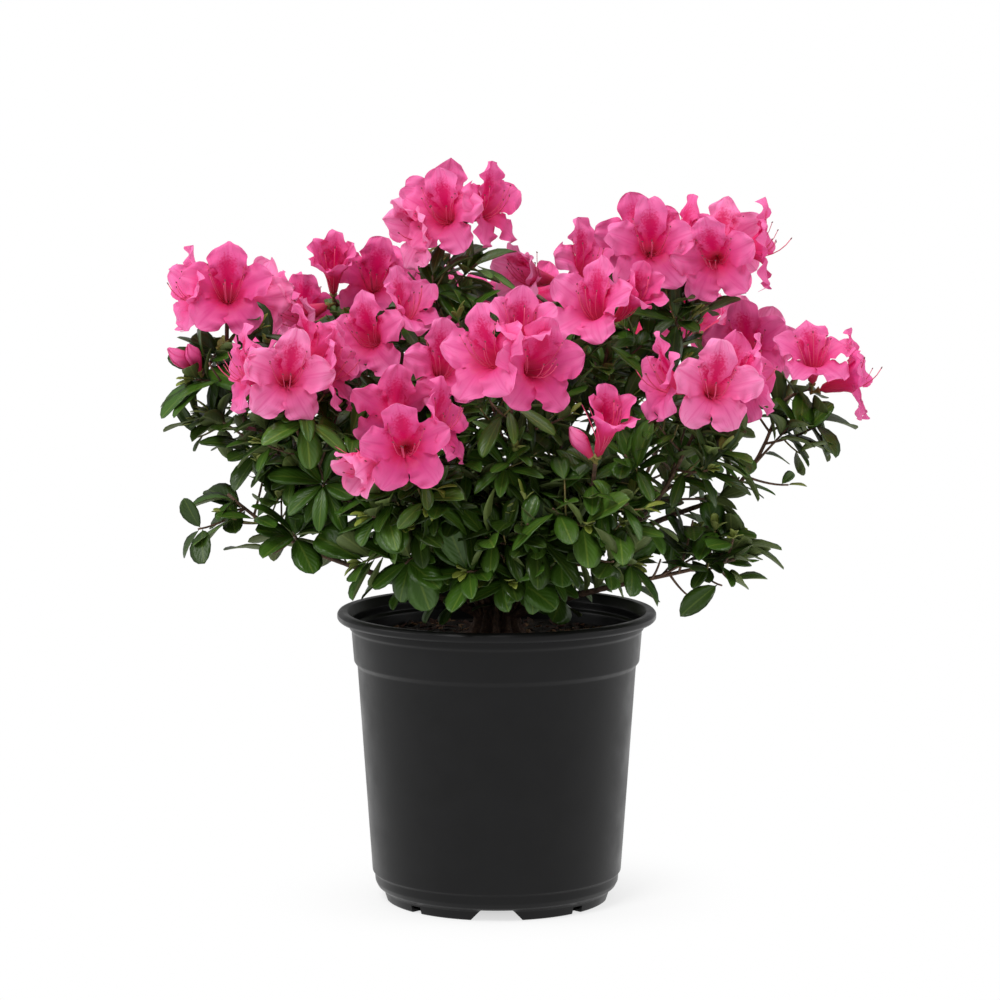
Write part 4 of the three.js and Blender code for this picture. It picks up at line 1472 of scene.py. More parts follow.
    def corolla(self, bloom: Bloom, pattern: Pattern, random: SeededNumbers) -> Array:
        """Shapes the pattern into one blossom's petals.

        Args:
            bloom: the blossom.
            pattern: the joined strips.
            random: draws each lobe's own bend, width and waves.

        Returns:
            The pattern's points in millimetres.
        """
        shape, is_bud = self.lobe, bloom.open < self.bud_below
        lobe = np.clip(np.round(pattern.points[:, 0] / 2).astype(int), 0, self.lobes - 1)
        u = pattern.points[:, 0] - 2 * lobe
        row = np.round(pattern.points[:, 1] * (self.tube_rows + self.lobe_rows)).astype(int)
        out, along, angle, turn, wave = (np.zeros(len(u)) for _ in range(5))
        for k in range(self.lobes):
            flare = shape.leans[k] + random.between(*shape.lean)
            radii, reach, angles = self.profile(bloom, flare, random.between(*shape.curl), shape.stretches[k])
            widest = shape.half_width * random.between(*shape.breadth) * (0.7 + 0.3 * bloom.open)
            width = self.half_widths(bloom, radii, widest, random.between(*shape.broadest))
            mine = lobe == k
            r, s = row[mine], u[mine]
            t = self.row_shares[r]
            frill, sway, waves = shape.waves(k, s, t, random)
            out[mine], along[mine], angle[mine] = radii[r], reach[r], angles[r]
            if is_bud:
                turn[mine] = width[r] * s / radii[r] + self.bud.winding * t
                wave[mine] = self.bud.bulge * s * shape.freed(t)
            else:
                turn[mine] = (width[r] * s * frill + sway) / radii[r]
                wave[mine] = waves * (0.35 + 0.65 * bloom.open)
        bearing = lobe * FULL_TURN / self.lobes + turn + bloom.spin + math.pi / 2
        radial = np.maximum(out - np.cos(angle) * wave, self.inmost)
        axial = along + np.sin(angle) * wave
        across, up = across_and_up(bloom.axis)
        spokes = np.cos(bearing)[:, None] * across + np.sin(bearing)[:, None] * up
        size = bloom.size * (self.bud.size if is_bud else 1.0)
        return bloom.base + (spokes * radial[:, None] + bloom.axis * axial[:, None]) * size

    @staticmethod
    def tube_pattern(sides: int, rows: int) -> Pattern:
        """Makes a closed tube.

        Args:
            sides: how many faces it has round it.
            rows: how many along it.

        Returns:
            The pattern. Its points hold the spoke's angle, the place along and the share of the radius.
        """
        bm = bmesh.new()
        bmesh.ops.create_cone(bm, cap_ends=True, cap_tris=True, segments=sides, radius1=1, radius2=1, depth=1)
        bmesh.ops.subdivide_edges(bm, edges=climbing_edges(bm, 0.5), cuts=rows - 1)
        for vert in bm.verts:
            spoke = math.atan2(vert.co.y, vert.co.x)
            vert.co = (spoke, vert.co.z + 0.5, math.hypot(vert.co.x, vert.co.y))
        return Pattern.read(bm)

    @staticmethod
    def along_path(pattern: Pattern, path: Array, radii: Array) -> Array:
        """Bends a tube pattern along a path.

        Args:
            pattern: from tube_pattern.
            path: a point for each row.
            radii: a radius for each row.

        Returns:
            The pattern's points in millimetres.
        """
        tangents = np.gradient(path, axis=0)
        tangents /= np.linalg.norm(tangents, axis=1)[:, None]
        frames = []
        across = across_and_up(tangents[0])[0]
        for tangent in tangents:
            across = unit(across - tangent * float(across @ tangent))
            frames.append((across, np.cross(tangent, across)))
        row = np.round(pattern.points[:, 1] * (len(path) - 1)).astype(int)
        spoke, share = pattern.points[:, 0], pattern.points[:, 2]
        first = np.array([frame_pair[0] for frame_pair in frames])[row]
        second = np.array([frame_pair[1] for frame_pair in frames])[row]
        ring = np.cos(spoke)[:, None] * first + np.sin(spoke)[:, None] * second
        return path[row] + ring * (radii[row] * share)[:, None]

    def filament(self, bloom: Bloom, bearing: float, length: float) -> Array:
        """Draws the path of a stamen or pistil.

        Args:
            bloom: the blossom.
            bearing: which way it spreads from the axis.
            length: its length.

        Returns:
            A point for each of its rows and the tip.
        """
        shape = self.stamen
        across, up = across_and_up(bloom.axis)
        s = np.linspace(0, 1, shape.rows + 1)[:, None]
        out = across * math.cos(bearing) + up * math.sin(bearing)
        lean = out * (shape.foot + shape.spread * s ** 1.3)
        lean = lean - up * (shape.sag * np.sin(math.pi * s))
        forward = bloom.axis * (self.pedicel + length * (s - 0.12 * s ** 3))
        return bloom.base + (forward + lean + up * shape.rise * s ** 2.6) * bloom.size

    def build(self) -> None:
        """Makes the corollas in two halves of the shrub, then the stamens and the green parts."""
        pattern = self.corolla_pattern()
        halves = {"front": JoinedMesh("petals_front"), "back": JoinedMesh("petals_back")}
        nodes: dict[str, list[str]] = {"front": [], "back": []}
        filaments, anthers, greens = JoinedMesh("stamens"), JoinedMesh("anthers"), JoinedMesh("calyces")
        thread = self.tube_pattern(self.stamen.sides, self.stamen.rows)
        stalk = self.tube_pattern(self.green_sides, len(self.green_reach) - 1)
        for index, bloom in enumerate(self.blooms):
            random = SeededNumbers(self.form_seed + index)
            half = "front" if MASSES[bloom.mass].stem[1] < 0 else "back"
            node = f"blossom_{bloom.mass}"
            if node not in nodes[half]:
                nodes[half].append(node)
            halves[half].add(pattern, self.corolla(bloom, pattern, random), bloom.tint.value, len(Flare))
            self.add_green(bloom, greens, stalk)
            if bloom.open > self.stamens_above:
                self.add_stamens(bloom, filaments, anthers, thread, stalk, random)
        finishes = []
        for tint in PetalTint:
            word = tint.name.lower()
            for flare in Flare:
                skin = PetalSkin(f"petal_{word}_{flare.name.lower()}", PETAL_STOPS[tint], PETAL_VEIN, flare)
                finishes.append(skin.material())
        for half, joined in halves.items():
            hand_over(joined.build(finishes), nodes[half])
        thread_skin = LeafSkin("stamen_thread", "#d93a68", "#e05a80", "#d93a68", roughness=0.45)
        anther_skin = LeafSkin("anther_case", "#7a3040", "#8f4450", "#7a3040", roughness=0.6)
        calyx_skin = LeafSkin("calyx_green", "#6d7f3a", "#8a6a3c", "#7f8d48", roughness=0.6)
        hand_over(filaments.build([thread_skin.material()]))
        hand_over(anthers.build([anther_skin.material()]))
        hand_over(greens.build([calyx_skin.material()]))

    def add_green(self, bloom: Bloom, greens: JoinedMesh, stalk: Pattern) -> None:
        """Adds a blossom's flower stalk and calyx cup."""
        path = bloom.base + bloom.axis * np.array(self.green_reach)[:, None] * bloom.size
        greens.add(stalk, self.along_path(stalk, path, np.array(self.green_radii) * bloom.size))

    def add_stamens(self, bloom: Bloom, filaments: JoinedMesh, anthers: JoinedMesh, thread: Pattern,
                    bead: Pattern, random: SeededNumbers) -> None:
        """Adds a blossom's stamens and pistil.

        Args:
            bloom: the blossom.
            filaments: takes the threads.
            anthers: takes the anthers and the stigma.
            thread: the threads' pattern.
            bead: the anthers' pattern.
            random: draws their lengths and bearings.
        """
        shape = self.stamen
        for i in range(shape.count + 1):
            is_pistil = i == shape.count
            bearing = -math.pi / 2
            if not is_pistil:
                bearing += (i - (shape.count - 1) / 2) * shape.spacing
            bearing += random.between(-shape.scatter, shape.scatter)
            length = shape.pistil_length if is_pistil else random.between(*shape.lengths)
            path = self.filament(bloom, bearing, length)
            thick = shape.pistil_thickness if is_pistil else shape.thickness
            radii = np.linspace(thick, thick * 0.7, shape.rows + 1)
            filaments.add(thread, self.along_path(thread, path, radii))
            tip, toward = path[-1], unit(path[-1] - path[-2])
            aside = toward if is_pistil else across_and_up(toward)[0]
            places = np.linspace(-1.1, 1.1, len(shape.bead))[:, None]
            bead_path = tip + (toward * 0.45 + aside * 0.55) * places
            anthers.add(bead, self.along_path(bead, bead_path, np.array(shape.bead)))


# Foliage
@dataclass
class ClearSpace:
    """What twigs and leaves keep out of: the pot, and the funnel and face of each blossom."""

    blooms: Sequence[Bloom]
    heights: tuple[float, ...] = (-1, 8, 26, 36, 44, 80)
    limits: tuple[float, ...] = (2.5, 5, 12, 28, 32, 22)
    rim_radius: float = 117.0
    rim_top: float = 211.0
    mix_radius: float = 96.0
    mix_top: float = 194.0
    lowest: float = 190.0
    open_above: float = 0.7
    bud_below: float = 0.3
    half_open: float = 0.5
    bud: float = 0.22

    @cached_property
    def arrays(self) -> list[Array]:
        """The blossoms' bases, axes, sizes and openness."""
        return [np.array([getattr(bloom, name) for bloom in self.blooms])
                for name in ("base", "axis", "size", "open")]

    def allows(self, points: Array) -> bool:
        """Tests points against the pot, the openings and the blossoms.

        Args:
            points: the points.

        Returns:
            Whether every one of them is free.
        """
        radius, level = np.hypot(points[:, 0], points[:, 1]), points[:, 2]
        over_mix = (radius < self.mix_radius) & (level > self.mix_top)
        in_pot = (radius < self.rim_radius) & (level < self.rim_top) & ~over_mix
        if in_pot.any() or (level < self.lowest).any():
            return False
        for opening in OPENINGS:
            if (opening.off_middle(points) < 1).any():
                return False
        bases, axes, sizes, opened = self.arrays
        offset = points[:, None, :] - bases[None]
        height = np.einsum("pbk,bk->pb", offset, axes)
        away = np.linalg.norm(offset - height[..., None] * axes[None], axis=2)
        limit = np.interp(height / sizes, self.heights, self.limits, left=0, right=0)
        part_open = np.where(opened > self.bud_below, self.half_open, self.bud)
        limit *= np.where(opened > self.open_above, 1.0, part_open) * sizes
        return not (away < limit).any()


@dataclass(frozen=True)
class Leaf:
    """One leaf: where it leaves its twig, how it lies and how large it is."""

    place: Array
    along: Array
    upper: Array
    length: float
    ratio: float
    droop: float
    fold: float
    twist: float
    age: LeafAge


@dataclass(frozen=True)
class LeafShape:
    """A leaf: an elliptic blade on a short stalk, folded at its rib, drooping and a little rippled.

    All but thickness, in millimetres, are shares of its length or angles. rows are places along it.
    """

    rows: tuple[float, ...] = (0.0, 0.08, 0.18, 0.34, 0.54, 0.73, 0.87, 0.96, 1.0)
    across: int = 4
    stalk: float = 0.08
    foot: float = 0.85
    bluntness: float = 0.78
    thickness: float = 0.22
    ripple: float = 0.012

    def pattern(self) -> Pattern:
        """Makes a closed pair of strips: y runs along a leaf, x across it and z from under to upper.

        Returns:
            The pattern, with kind 0 above and 1 below.
        """
        bm = bmesh.new()
        steps = len(self.rows) - 1
        upper = bmesh.ops.create_grid(bm, x_segments=self.across, y_segments=steps, size=1)["verts"]
        copy = bmesh.ops.duplicate(bm, geom=bm.verts[:] + bm.edges[:] + bm.faces[:])["geom"]
        under = [item for item in copy if isinstance(item, bmesh.types.BMFace)]
        bmesh.ops.reverse_faces(bm, faces=under)
        for face in under:
            face.material_index = 1
        lower = [item for item in copy if isinstance(item, bmesh.types.BMVert)]
        for side, verts in ((1, upper), (-1, lower)):
            for vert in verts:
                on_margin = max(abs(vert.co.x), abs(vert.co.y)) > 1 - WELD
                vert.co.z = 0 if on_margin else side
        bmesh.ops.remove_doubles(bm, verts=bm.verts, dist=WELD)
        for vert in bm.verts:
            vert.co.y = self.rows[round((vert.co.y + 1) / 2 * steps)]
        for end in (0, 1):
            row = [v for v in bm.verts if abs(v.co.y - end) < WELD]
            bmesh.ops.pointmerge(bm, verts=row, merge_co=(0, end, 0))
        return Pattern.read(bm)

    def points(self, leaf: Leaf, pattern: Pattern) -> Array:
        """Shapes the pattern into one leaf.

        Args:
            leaf: the leaf.
            pattern: the closed pair of strips.

        Returns:
            The pattern's points in millimetres.
        """
        u, v, side = pattern.points.T
        s = np.clip((v - self.stalk) / (1 - self.stalk), 0, 1)
        blunt = self.bluntness - 0.45 * leaf.ratio
        widest = self.foot / (self.foot + blunt)
        shape = (s / widest) ** self.foot * ((1 - s) / (1 - widest)) ** blunt
        half = leaf.length * (leaf.ratio / 2 * shape + 0.017 * (1 - v))
        across = unit(np.cross(leaf.upper, leaf.along))
        normal = np.cross(leaf.along, across)
        turn = leaf.twist * v
        over = across[None] * np.cos(turn)[:, None] + normal[None] * np.sin(turn)[:, None]
        lift = leaf.fold * np.abs(u) * half - leaf.droop * leaf.length * v ** 2 + side * self.thickness
        wave = np.sin(v * 9.0 + leaf.twist * 20.0)
        lift = lift + self.ripple * leaf.length * wave * np.abs(u)
        along = leaf.along[None] * (v * leaf.length)[:, None]
        return leaf.place + along + over * (u * half)[:, None] + normal[None] * lift[:, None]


class Shoot(Enum):
    """A kind of shoot: its radius, how many leaves crowd round its tip and the spacing of the rest."""

    STEM = (1.6, 5, 12.0)
    TWIG = (0.95, 5, 8.5)
    SIDE = (0.7, 4, 7.0)
    WHORL = (1.0, 7, 13.0)
    SUCKER = (1.5, 6, 15.0)
    SPUR = (0.7, 4, 6.0)


@dataclass
class Foliage:
    """The leafy twigs of every mass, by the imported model's rule and on to finer twigs.

    leaf_shapes holds each shape's share, its least and most ratio of width to length, and its length. Leaves
    below the height broad_below are broader by broader, up to the ratio broadest, as low leaves are.
    Spurs are the short shoots on the boughs, stalks lead to the flower heads, and suckers are thin inner
    stems. A pair holds the least and the most of what is drawn.
    """

    limbs: Limbs
    clear: ClearSpace
    shape: LeafShape = LeafShape()
    seed: int = 560
    fine_seed: int = 1000
    sucker_seed: int = 2000
    stem_sweep: float = 0.4
    space_middle: float = 0.6
    twig_shortest: float = 28.0
    twig_longest: float = 48.0
    twig_trials: tuple[float, ...] = (1.0, 0.75, 0.5)
    twig_first: float = 0.1
    twig_span: float = 0.85
    twig_scatter: float = 0.3
    twig_leans: Span = (0.85, 1.3)
    twig_sweep: float = 0.55
    twig_lift: float = 0.18
    side_places: tuple[float, ...] = (0.35, 0.62)
    side_lengths: Span = (12.0, 26.0)
    side_leans: Span = (0.7, 1.1)
    side_share: float = 0.9
    leaf_lengths: Span = (25.0, 43.0)
    leaf_shapes: tuple[tuple[float, float, float, float], ...] = (
        (0.46, 0.28, 0.38, 1.0), (0.38, 0.4, 0.54, 0.95), (0.16, 0.62, 0.8, 0.64))
    droops: Span = (0.02, 0.3)
    folds: Span = (0.12, 0.5)
    twists: Span = (-0.35, 0.35)
    broad_below: float = 292.0
    broader: float = 1.28
    broadest: float = 0.8
    leaf_margin: float = 1.1
    whorl_margin: float = 1.3
    shoot_taper: float = 0.7
    old_share: float = 0.4
    fresh_share: float = 0.18
    first_leaf: float = 1.2
    leafy_share: float = 0.85
    tip_tilts: Span = (0.75, 1.25)
    tip_spacing: Span = (1.2, 2.4)
    low_tilts: Span = (0.9, 1.35)
    low_spacing: Span = (0.8, 1.2)
    low_size: float = 0.88
    young_share: float = 0.45
    young: int = 4
    young_tilts: Span = (0.2, 0.5)
    young_lengths: Span = (9, 16)
    suckers: int = 16
    sucker_feet: Span = (7, 13)
    sucker_reach: Span = (30, 88)
    sucker_tops: Span = (262, 300)
    stalk_radii: Span = (1.4, 1.6)
    stalk_leaves: int = 9
    stalk_places: Span = (3.0, 2.2)
    stalk_tilts: Span = (1.05, 1.6)
    stalk_lengths: Span = (30, 44)
    stalk_grown: float = 0.6
    spur_share: float = 0.35
    spur_leans: Span = (0.8, 1.3)
    spur_lengths: Span = (8, 20)
    spur_steps: Span = (6, 12)
    lone_size: float = 0.9
    leaves: list[Leaf] = field(default_factory=list)
    shoots: list[tuple[Curve, float, float]] = field(default_factory=list)

    def stem(self, name: str) -> Curve:
        """Returns a mass's stem, which carries on from its bough's tip."""
        bough, away = self.limbs.curves[name], self.limbs.curves[name].along(1)
        return swept(bough.end + away * GAP, away, np.array(MASSES[name].stem), self.stem_sweep)

    def space(self, name: str) -> Space:
        """Returns a mass's space."""
        tip, stem = np.array(BOUGHS[name].tip), np.array(MASSES[name].stem)
        return Space(tuple(tip + (stem - tip) * self.space_middle), MASSES[name].space)

    def twig(self, start: Array, away: Array, length: float) -> Curve:
        """Returns a twig that leaves start along away and lifts towards the light."""
        end = start + away * length + UP * self.twig_lift * length
        return Curve(start, start + away * self.twig_sweep * length, end)

    def grow_twigs(self, name: str, stem: Curve, random: SeededNumbers) -> list[Curve]:
        """Grows a mass's twigs round its stem by the golden angle.

        Args:
            name: the mass.
            stem: its stem.
            random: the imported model's draws.

        Returns:
            The twigs that keep to the mass's space.
        """
        twigs = []
        space = self.space(name)
        count = MASSES[name].twigs
        for i in range(count):
            at = self.twig_first + self.twig_span * (i + 0.5) / count
            bearing = i * GOLDEN_TURN + random.between(-self.twig_scatter, self.twig_scatter)
            lean = random.between(*self.twig_leans)
            length = random.between(self.twig_shortest, self.twig_longest)
            away = leaning(stem.along(at), bearing, lean)
            trials = (self.twig(stem.at(at), away, length * share) for share in self.twig_trials)
            fits = (t for t in trials if space.holds(t.end) and self.clear.allows(t.rings(5)[0][1:]))
            grown = next(fits, None)
            if grown:
                twigs.append(grown)
        return twigs

    def proportions(self, random: SeededNumbers) -> Span:
        """Draws a leaf's shape.

        Args:
            random: draws it.

        Returns:
            Its ratio of width to length, and its length as a share of the usual.
        """
        place = random.next()
        for share, least, most, length in self.leaf_shapes:
            if place < share:
                break
            place -= share
        return random.between(least, most), length

    def add_leaf(self, spaces: Sequence[Space], shoot: Curve, at: float, bearing: float, lean: float,
                 length: float, age: LeafAge, random: SeededNumbers, margin: float | None = None) -> None:
        """Adds a leaf, unless it would leave its spaces or reach into the pot or a blossom.

        Args:
            spaces: its tip keeps to one of these.
            shoot: what it grows from.
            at: where on the shoot, as a share of its length.
            bearing: which way round the shoot it points.
            lean: how far it leans away from the shoot.
            length: its length.
            age: its tint.
            random: draws its proportions and bends.
            margin: how much larger than they are its spaces are taken to be.
        """
        place, along = shoot.at(at), shoot.along(at)
        away = leaning(along, bearing, lean)
        droop, fold, twist = (random.between(*span) for span in (self.droops, self.folds, self.twists))
        ratio, share = self.proportions(random)
        if place[2] < self.broad_below:
            ratio = min(ratio * self.broader, self.broadest)
        length *= share
        upper = unit(along * 0.6 + UP * 0.8)
        across = np.cross(upper, away)
        if np.linalg.norm(across) < 0.05:
            return
        across = unit(across)
        down = np.cross(away, across) * -droop * length
        middle = place + away * length * 0.55
        side = across * length * ratio * 0.45
        probes = np.array([middle, middle + side, middle - side, place + away * length + down])
        kept = any(space.holds(probes[-1], margin or self.leaf_margin) for space in spaces)
        if kept and self.clear.allows(probes):
            self.leaves.append(Leaf(place, away, upper, length, ratio, droop, fold, twist, age))

    def dress(self, spaces: Sequence[Space], shoot: Curve, kind: Shoot, random: SeededNumbers,
              leafy: float = 1.0, crowd: int | None = None, margin: float | None = None) -> None:
        """Sets leaves along a shoot, close together at its tip.

        Args:
            spaces: what its leaves keep to.
            shoot: the shoot.
            kind: what kind of shoot it is.
            random: draws the leaves.
            leafy: how leafy its mass is.
            crowd: how many leaves stand close round the tip, where that isn't the kind's own number.
            margin: how much larger than they are its spaces are taken to be.
        """
        radius, usual_crowd, spread = kind.value
        self.shoots.append((shoot, radius, max(0.55, radius * self.shoot_taper)))
        turn = random.bearing()
        age = LeafAge.OLD if random.next() < self.old_share else LeafAge.GROWN
        if random.next() < self.fresh_share:
            age = LeafAge.FRESH
        reach, index = self.first_leaf, 0
        while reach < shoot.length * self.leafy_share:
            near_tip = index < (crowd or usual_crowd)
            tilt = random.between(*(self.tip_tilts if near_tip else self.low_tilts))
            length = random.between(*self.leaf_lengths) * (1.0 if near_tip else self.low_size)
            bearing = turn + index * GOLDEN_TURN
            self.add_leaf(spaces, shoot, 1 - reach / shoot.length, bearing, tilt, length, age, random, margin)
            spacing = random.between(*(self.tip_spacing if near_tip else self.low_spacing))
            reach += spacing if near_tip else spacing * (spread / leafy)
            index += 1
        if random.next() < self.young_share:
            for j in range(self.young):
                tilt, length = random.between(*self.young_tilts), random.between(*self.young_lengths)
                bearing = turn + j * GOLDEN_TURN
                self.add_leaf(spaces, shoot, 1, bearing, tilt, length, LeafAge.SHOOT, random, margin)

    def grow_mass(self, index: int, name: str) -> None:
        """Grows one mass: its stem, its twigs and their side shoots.

        Args:
            index: the mass's number, which seeds it.
            name: the mass.
        """
        stem = self.stem(name)
        twigs = self.grow_twigs(name, stem, SeededNumbers(self.seed + index))
        fine = SeededNumbers(self.seed + index + self.fine_seed)
        leafy = MASSES[name].leafy
        crowd = max(2, round(Shoot.TWIG.value[1] * leafy))
        side_crowd = min(crowd, Shoot.SIDE.value[1])
        spaces = [self.space(name)]
        self.dress(spaces, stem, Shoot.STEM, fine, leafy)
        for twig in twigs:
            self.dress(spaces, twig, Shoot.TWIG, fine, leafy, crowd)
            for place in self.side_places:
                away = leaning(twig.along(place), fine.bearing(), fine.between(*self.side_leans))
                side = self.twig(twig.at(place), away, fine.between(*self.side_lengths))
                grows = fine.next() < self.side_share * leafy
                if grows and spaces[0].holds(side.end) and self.clear.allows(side.rings(4)[0][1:]):
                    self.dress(spaces, side, Shoot.SIDE, fine, leafy, side_crowd)
        self.grow_whorls(name, stem, fine)
        self.grow_stalks(name, stem, fine)
        self.grow_spurs(name, fine)

    def grow_whorls(self, name: str, stem: Curve, random: SeededNumbers) -> None:
        """Grows a mass's leafy tips at the shrub's edge.

        Args:
            name: the mass.
            stem: its stem.
            random: draws the leaves.
        """
        for at, tip in WHORLS.get(name, ()):
            start, end = stem.at(at), np.array(tip)
            away = unit(stem.along(at) * 0.5 + unit(end - start))
            shoot = swept(start, away, end, self.stem_sweep)
            self.dress([self.space(name), INNER_SPACE], shoot, Shoot.WHORL, random, margin=self.whorl_margin)

    def grow_suckers(self) -> None:
        """Grows thin inner stems from the root crown, with leaves round their tips."""
        random = SeededNumbers(self.seed + self.sucker_seed)
        for i in range(self.suckers):
            bearing = i * GOLDEN_TURN + random.between(-0.2, 0.2)
            spoke = np.array([math.cos(bearing), math.sin(bearing), 0.0])
            start = spoke * random.between(*self.sucker_feet) + UP * (CROWN_FOOT + 12.0)
            end = spoke * random.between(*self.sucker_reach) + UP * random.between(*self.sucker_tops)
            sucker = swept(start, unit(spoke * 0.5 + UP), end, self.stem_sweep)
            self.dress([INNER_SPACE], sucker, Shoot.SUCKER, random)

    def grow_stalks(self, name: str, stem: Curve, random: SeededNumbers) -> None:
        """Carries a stem on to its flower heads, with a whorl of leaves under each.

        Args:
            name: the stem's mass.
            stem: the stem.
            random: draws the leaves.
        """
        first, step = self.stalk_places
        for truss in MASSES[name].trusses:
            head, away = np.array(truss.base), stem.along(1)
            stalk = swept(stem.end - away * 2.0, away, head, self.stem_sweep)
            self.shoots.append((stalk, *self.stalk_radii))
            turn = random.bearing()
            for j in range(self.stalk_leaves):
                at = max(0.05, 1 - (first + step * j) / stalk.length)
                tilt, length = random.between(*self.stalk_tilts), random.between(*self.stalk_lengths)
                age = LeafAge.GROWN if random.next() < self.stalk_grown else LeafAge.OLD
                bearing = turn + j * GOLDEN_TURN
                self.add_leaf([self.space(name)], stalk, at, bearing, tilt, length, age, random)

    def grow_spurs(self, name: str, random: SeededNumbers) -> None:
        """Sets single leaves and short leafy spurs along the outer part of a bough.

        Args:
            name: the bough.
            random: draws them.
        """
        bough = self.limbs.curves[name]
        spaces = [self.space(name), INNER_SPACE]
        reach = 8.0
        while reach < bough.length * 0.8:
            at = 1 - reach / bough.length
            bearing, lean = random.bearing(), random.between(*self.spur_leans)
            if random.next() < self.spur_share * MASSES[name].leafy:
                away = leaning(bough.along(at), bearing, lean)
                spur = self.twig(bough.at(at), away, random.between(*self.spur_lengths))
                self.dress(spaces, spur, Shoot.SPUR, random)
            else:
                length = random.between(*self.leaf_lengths) * self.lone_size
                self.add_leaf(spaces, bough, at, bearing, lean, length, LeafAge.GROWN, random)
            reach += random.between(*self.spur_steps)

    @staticmethod
    def part(place: Array | Point) -> str:
        """Returns the part of the shrub that a place is in."""
        front = "front_left" if place[0] < 0 else "front_right"
        return "back" if place[1] >= 0 else front

    def build(self) -> None:
        """Grows every mass, then makes the leaves in three parts of the shrub, and the twigs."""
        for index, name in enumerate(BOUGHS):
            self.grow_mass(index, name)
        self.grow_suckers()
        materials = []
        for age, tints in LEAF_TINTS.items():
            glow = SHOOT_GLOW if age is LeafAge.SHOOT else LEAF_GLOW
            for side, colours, rough in zip(("upper", "under"), tints, (UPPER_ROUGHNESS, UNDER_ROUGHNESS)):
                skin = LeafSkin(f"leaf_{age.name.lower()}_{side}", *colours, rough, glow)
                materials.append(skin.material())
        pattern = self.shape.pattern()
        parts = {part: JoinedMesh(f"leaves_{part}") for part in ("front_left", "front_right", "back")}
        for leaf in self.leaves:
            parts[self.part(leaf.place)].add(pattern, self.shape.points(leaf, pattern), leaf.age.value, 2)
        for part, joined in parts.items():
            nodes = [f"foliage_{name}" for name, mass in MASSES.items() if self.part(mass.stem) == part]
            hand_over(joined.build(materials), nodes)
        self.build_twigs()
        LOG.info("%d leaves on %d shoots", len(self.leaves), len(self.shoots))

    def build_twigs(self) -> None:
        """Makes the stems, twigs and side shoots as one mesh of bark and green wood."""
        rings = 8
        pattern = Blossom.tube_pattern(6, rings - 1)
        joined = JoinedMesh("twigs")
        for shoot, foot, tip in self.shoots:
            path = shoot.rings(rings)[0]
            points = Blossom.along_path(pattern, path, np.linspace(foot, tip, rings))
            joined.add(pattern, points, 0 if foot > 0.9 else 1)
        brown = CrumbledMatter("twig_bark", "#3b2a1e", "#5a4130", "#7a5f48", 3.0, 0.8, 0.75, 0.2)
        green = CrumbledMatter("twig_green", "#5a5a2c", "#6f6a38", "#86603a", 5.0, 1.0, 0.6, 0.1)
        hand_over(joined.build([brown.material(), green.material()]))


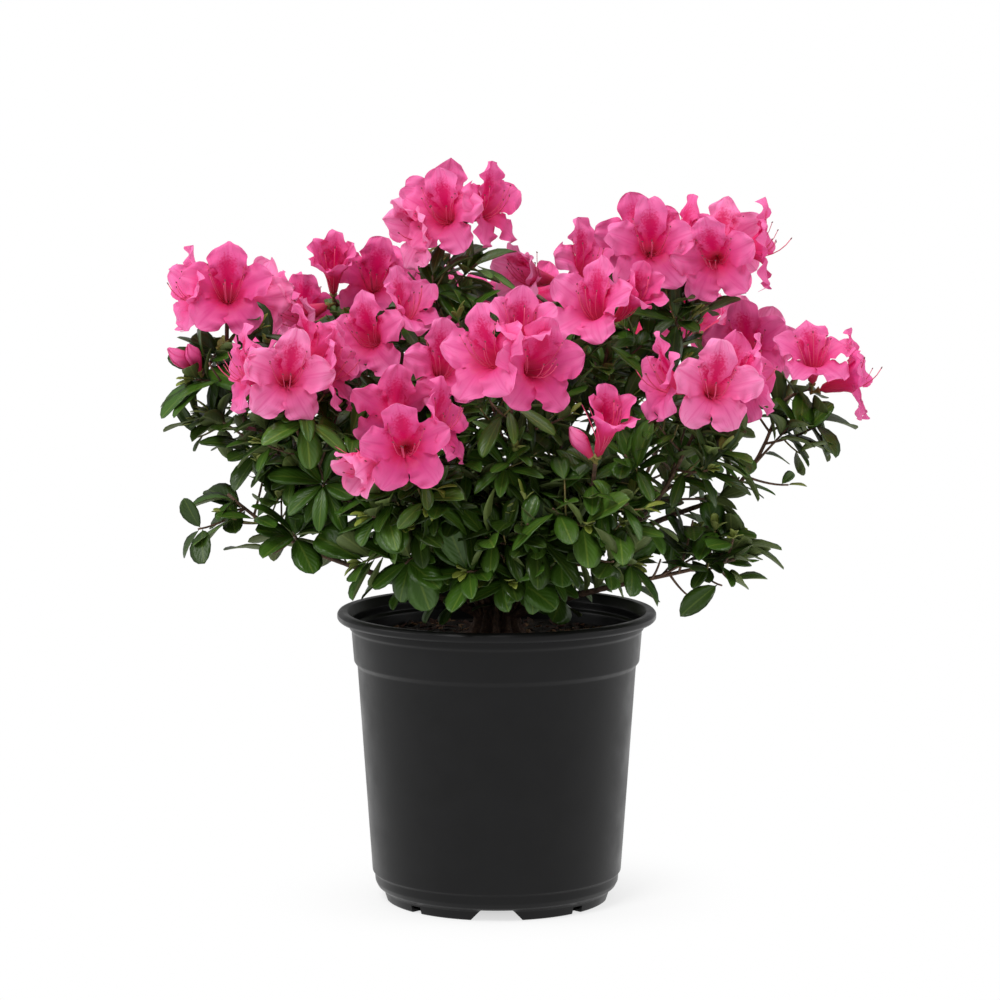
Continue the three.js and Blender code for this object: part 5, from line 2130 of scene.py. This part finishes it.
# Studio
@dataclass
class Studio:
    """A plain pale floor, soft lights and the camera at the photograph's viewing angle."""

    camera_distance: float = 2.5844
    camera_height: float = 0.5974
    camera_pitch: float = 6.9
    lens: float = 132.74
    shift_x: float = 0.00325
    floor_half: float = 12.0
    floor_gap: float = 0.0003
    cove: Span = (-0.15, 0.2)
    aim: float = 0.33
    surroundings: float = 0.42
    backdrop: str = "#ffffff"

    def build_camera(self) -> None:
        """Places the camera and makes it the scene's."""
        data = bpy.data.cameras.new("camera")
        data.lens, data.sensor_width, data.shift_x = self.lens, 36.0, self.shift_x
        camera = bpy.data.objects.new("camera", data)
        camera.location = (0, -self.camera_distance, self.camera_height)
        camera.rotation_euler = (math.radians(90 - self.camera_pitch), 0, 0)
        bpy.context.scene.collection.objects.link(camera)
        bpy.context.scene.camera = camera

    def build_floor(self) -> None:
        """Lays the pale floor just under the pot. It brightens outwards, as the foot of a lit cove does."""
        bm = bmesh.new()
        bmesh.ops.create_grid(bm, x_segments=1, y_segments=1, size=self.floor_half / MM)
        bmesh.ops.translate(bm, vec=(0, 0, -self.floor_gap / MM), verts=bm.verts)
        material, tree, surface, place = new_material("studio_floor")
        distance = add_node(tree, "VectorMath", {0: place.outputs["Object"]}, operation="LENGTH")
        share = add_node(tree, "MapRange", {
            "Value": distance, "From Min": self.cove[0], "From Max": self.cove[1]},
            interpolation_type="SMOOTHSTEP")
        paint = add_node(tree, "BsdfDiffuse", {"Color": linear(self.backdrop)})
        glow = add_node(tree, "Emission", {"Color": linear(self.backdrop), "Strength": 1.0})
        shader = add_node(tree, "MixShader", {0: share, 1: paint, 2: glow})
        tree.links.new(shader.outputs["Shader"], surface)
        object_of(bm, "studio_floor", [material])

    def build_lights(self) -> None:
        """Sets the soft boxes and the white surroundings."""
        boxes = {
            "key": ((-1.0, -2.0, 2.7), 1.2, 58.0),
            "left": ((-2.3, -0.3, 1.1), 1.6, 20.0),
            "right": ((2.3, -0.2, 1.1), 1.6, 20.0),
            "top": ((0.0, 0.2, 2.6), 2.0, 30.0),
        }
        for name, (place, size, power) in boxes.items():
            data = bpy.data.lights.new(name, "AREA")
            data.shape, data.size, data.energy = "DISK", size, power
            light = bpy.data.objects.new(name, data)
            light.location = place
            target = Vector((0, 0, self.aim)) - Vector(place)
            light.rotation_euler = target.to_track_quat("-Z", "Y").to_euler()
            bpy.context.scene.collection.objects.link(light)
        world = bpy.data.worlds.new("studio")
        world.use_nodes = True
        tree = world.node_tree
        tree.nodes.clear()
        rays = add_node(tree, "LightPath").outputs["Is Camera Ray"]
        strength = add_node(tree, "MapRange", {"Value": rays, "To Min": self.surroundings, "To Max": 1.0})
        shine = add_node(tree, "Background", {"Color": linear(self.backdrop), "Strength": strength})
        surface = add_node(tree, "OutputWorld").inputs["Surface"]
        tree.links.new(shine.outputs["Background"], surface)
        bpy.context.scene.world = world
        bpy.context.scene.view_settings.view_transform = "Standard"

    def build(self) -> None:
        """Sets up the whole studio."""
        self.build_camera()
        self.build_floor()
        self.build_lights()


def main() -> None:
    """Builds the azalea in its studio."""
    logging.basicConfig(level=logging.INFO, format="%(name)s: %(message)s")
    Studio().build()
    pot = NurseryPot()
    pot.build()
    mix = PottingMix(pot, CrumbledMatter("damp_mix", "#0b0705", "#170e08", "#281a10", 4.0, 1.2, 0.9, 1.2), (
        CrumbledMatter("chip_dark", "#110a06", "#1e130b", "#332216", 3.0, 0.8),
        CrumbledMatter("chip_red", "#24110a", "#3a1e12", "#54321f", 3.0, 0.8),
        CrumbledMatter("chip_brown", "#1c130c", "#32241a", "#4a3726", 3.0, 0.8),
        CrumbledMatter("chip_pale", "#4d3622", "#6d4f34", "#8c6d4b", 3.0, 0.8),
    ))
    mix.build()
    mix.build_chips()
    bark = CrumbledMatter("azalea_bark", "#2f211a", "#4c372a", "#705745", 3.5, 0.9, 0.85, 0.4)
    limbs = Limbs(pot, bark)
    limbs.plan()
    limbs.build()
    blossom = Blossom()
    blossom.plan()
    blossom.build()
    Foliage(limbs, ClearSpace(blossom.blooms)).build()


if __name__ == "__main__":
    main()
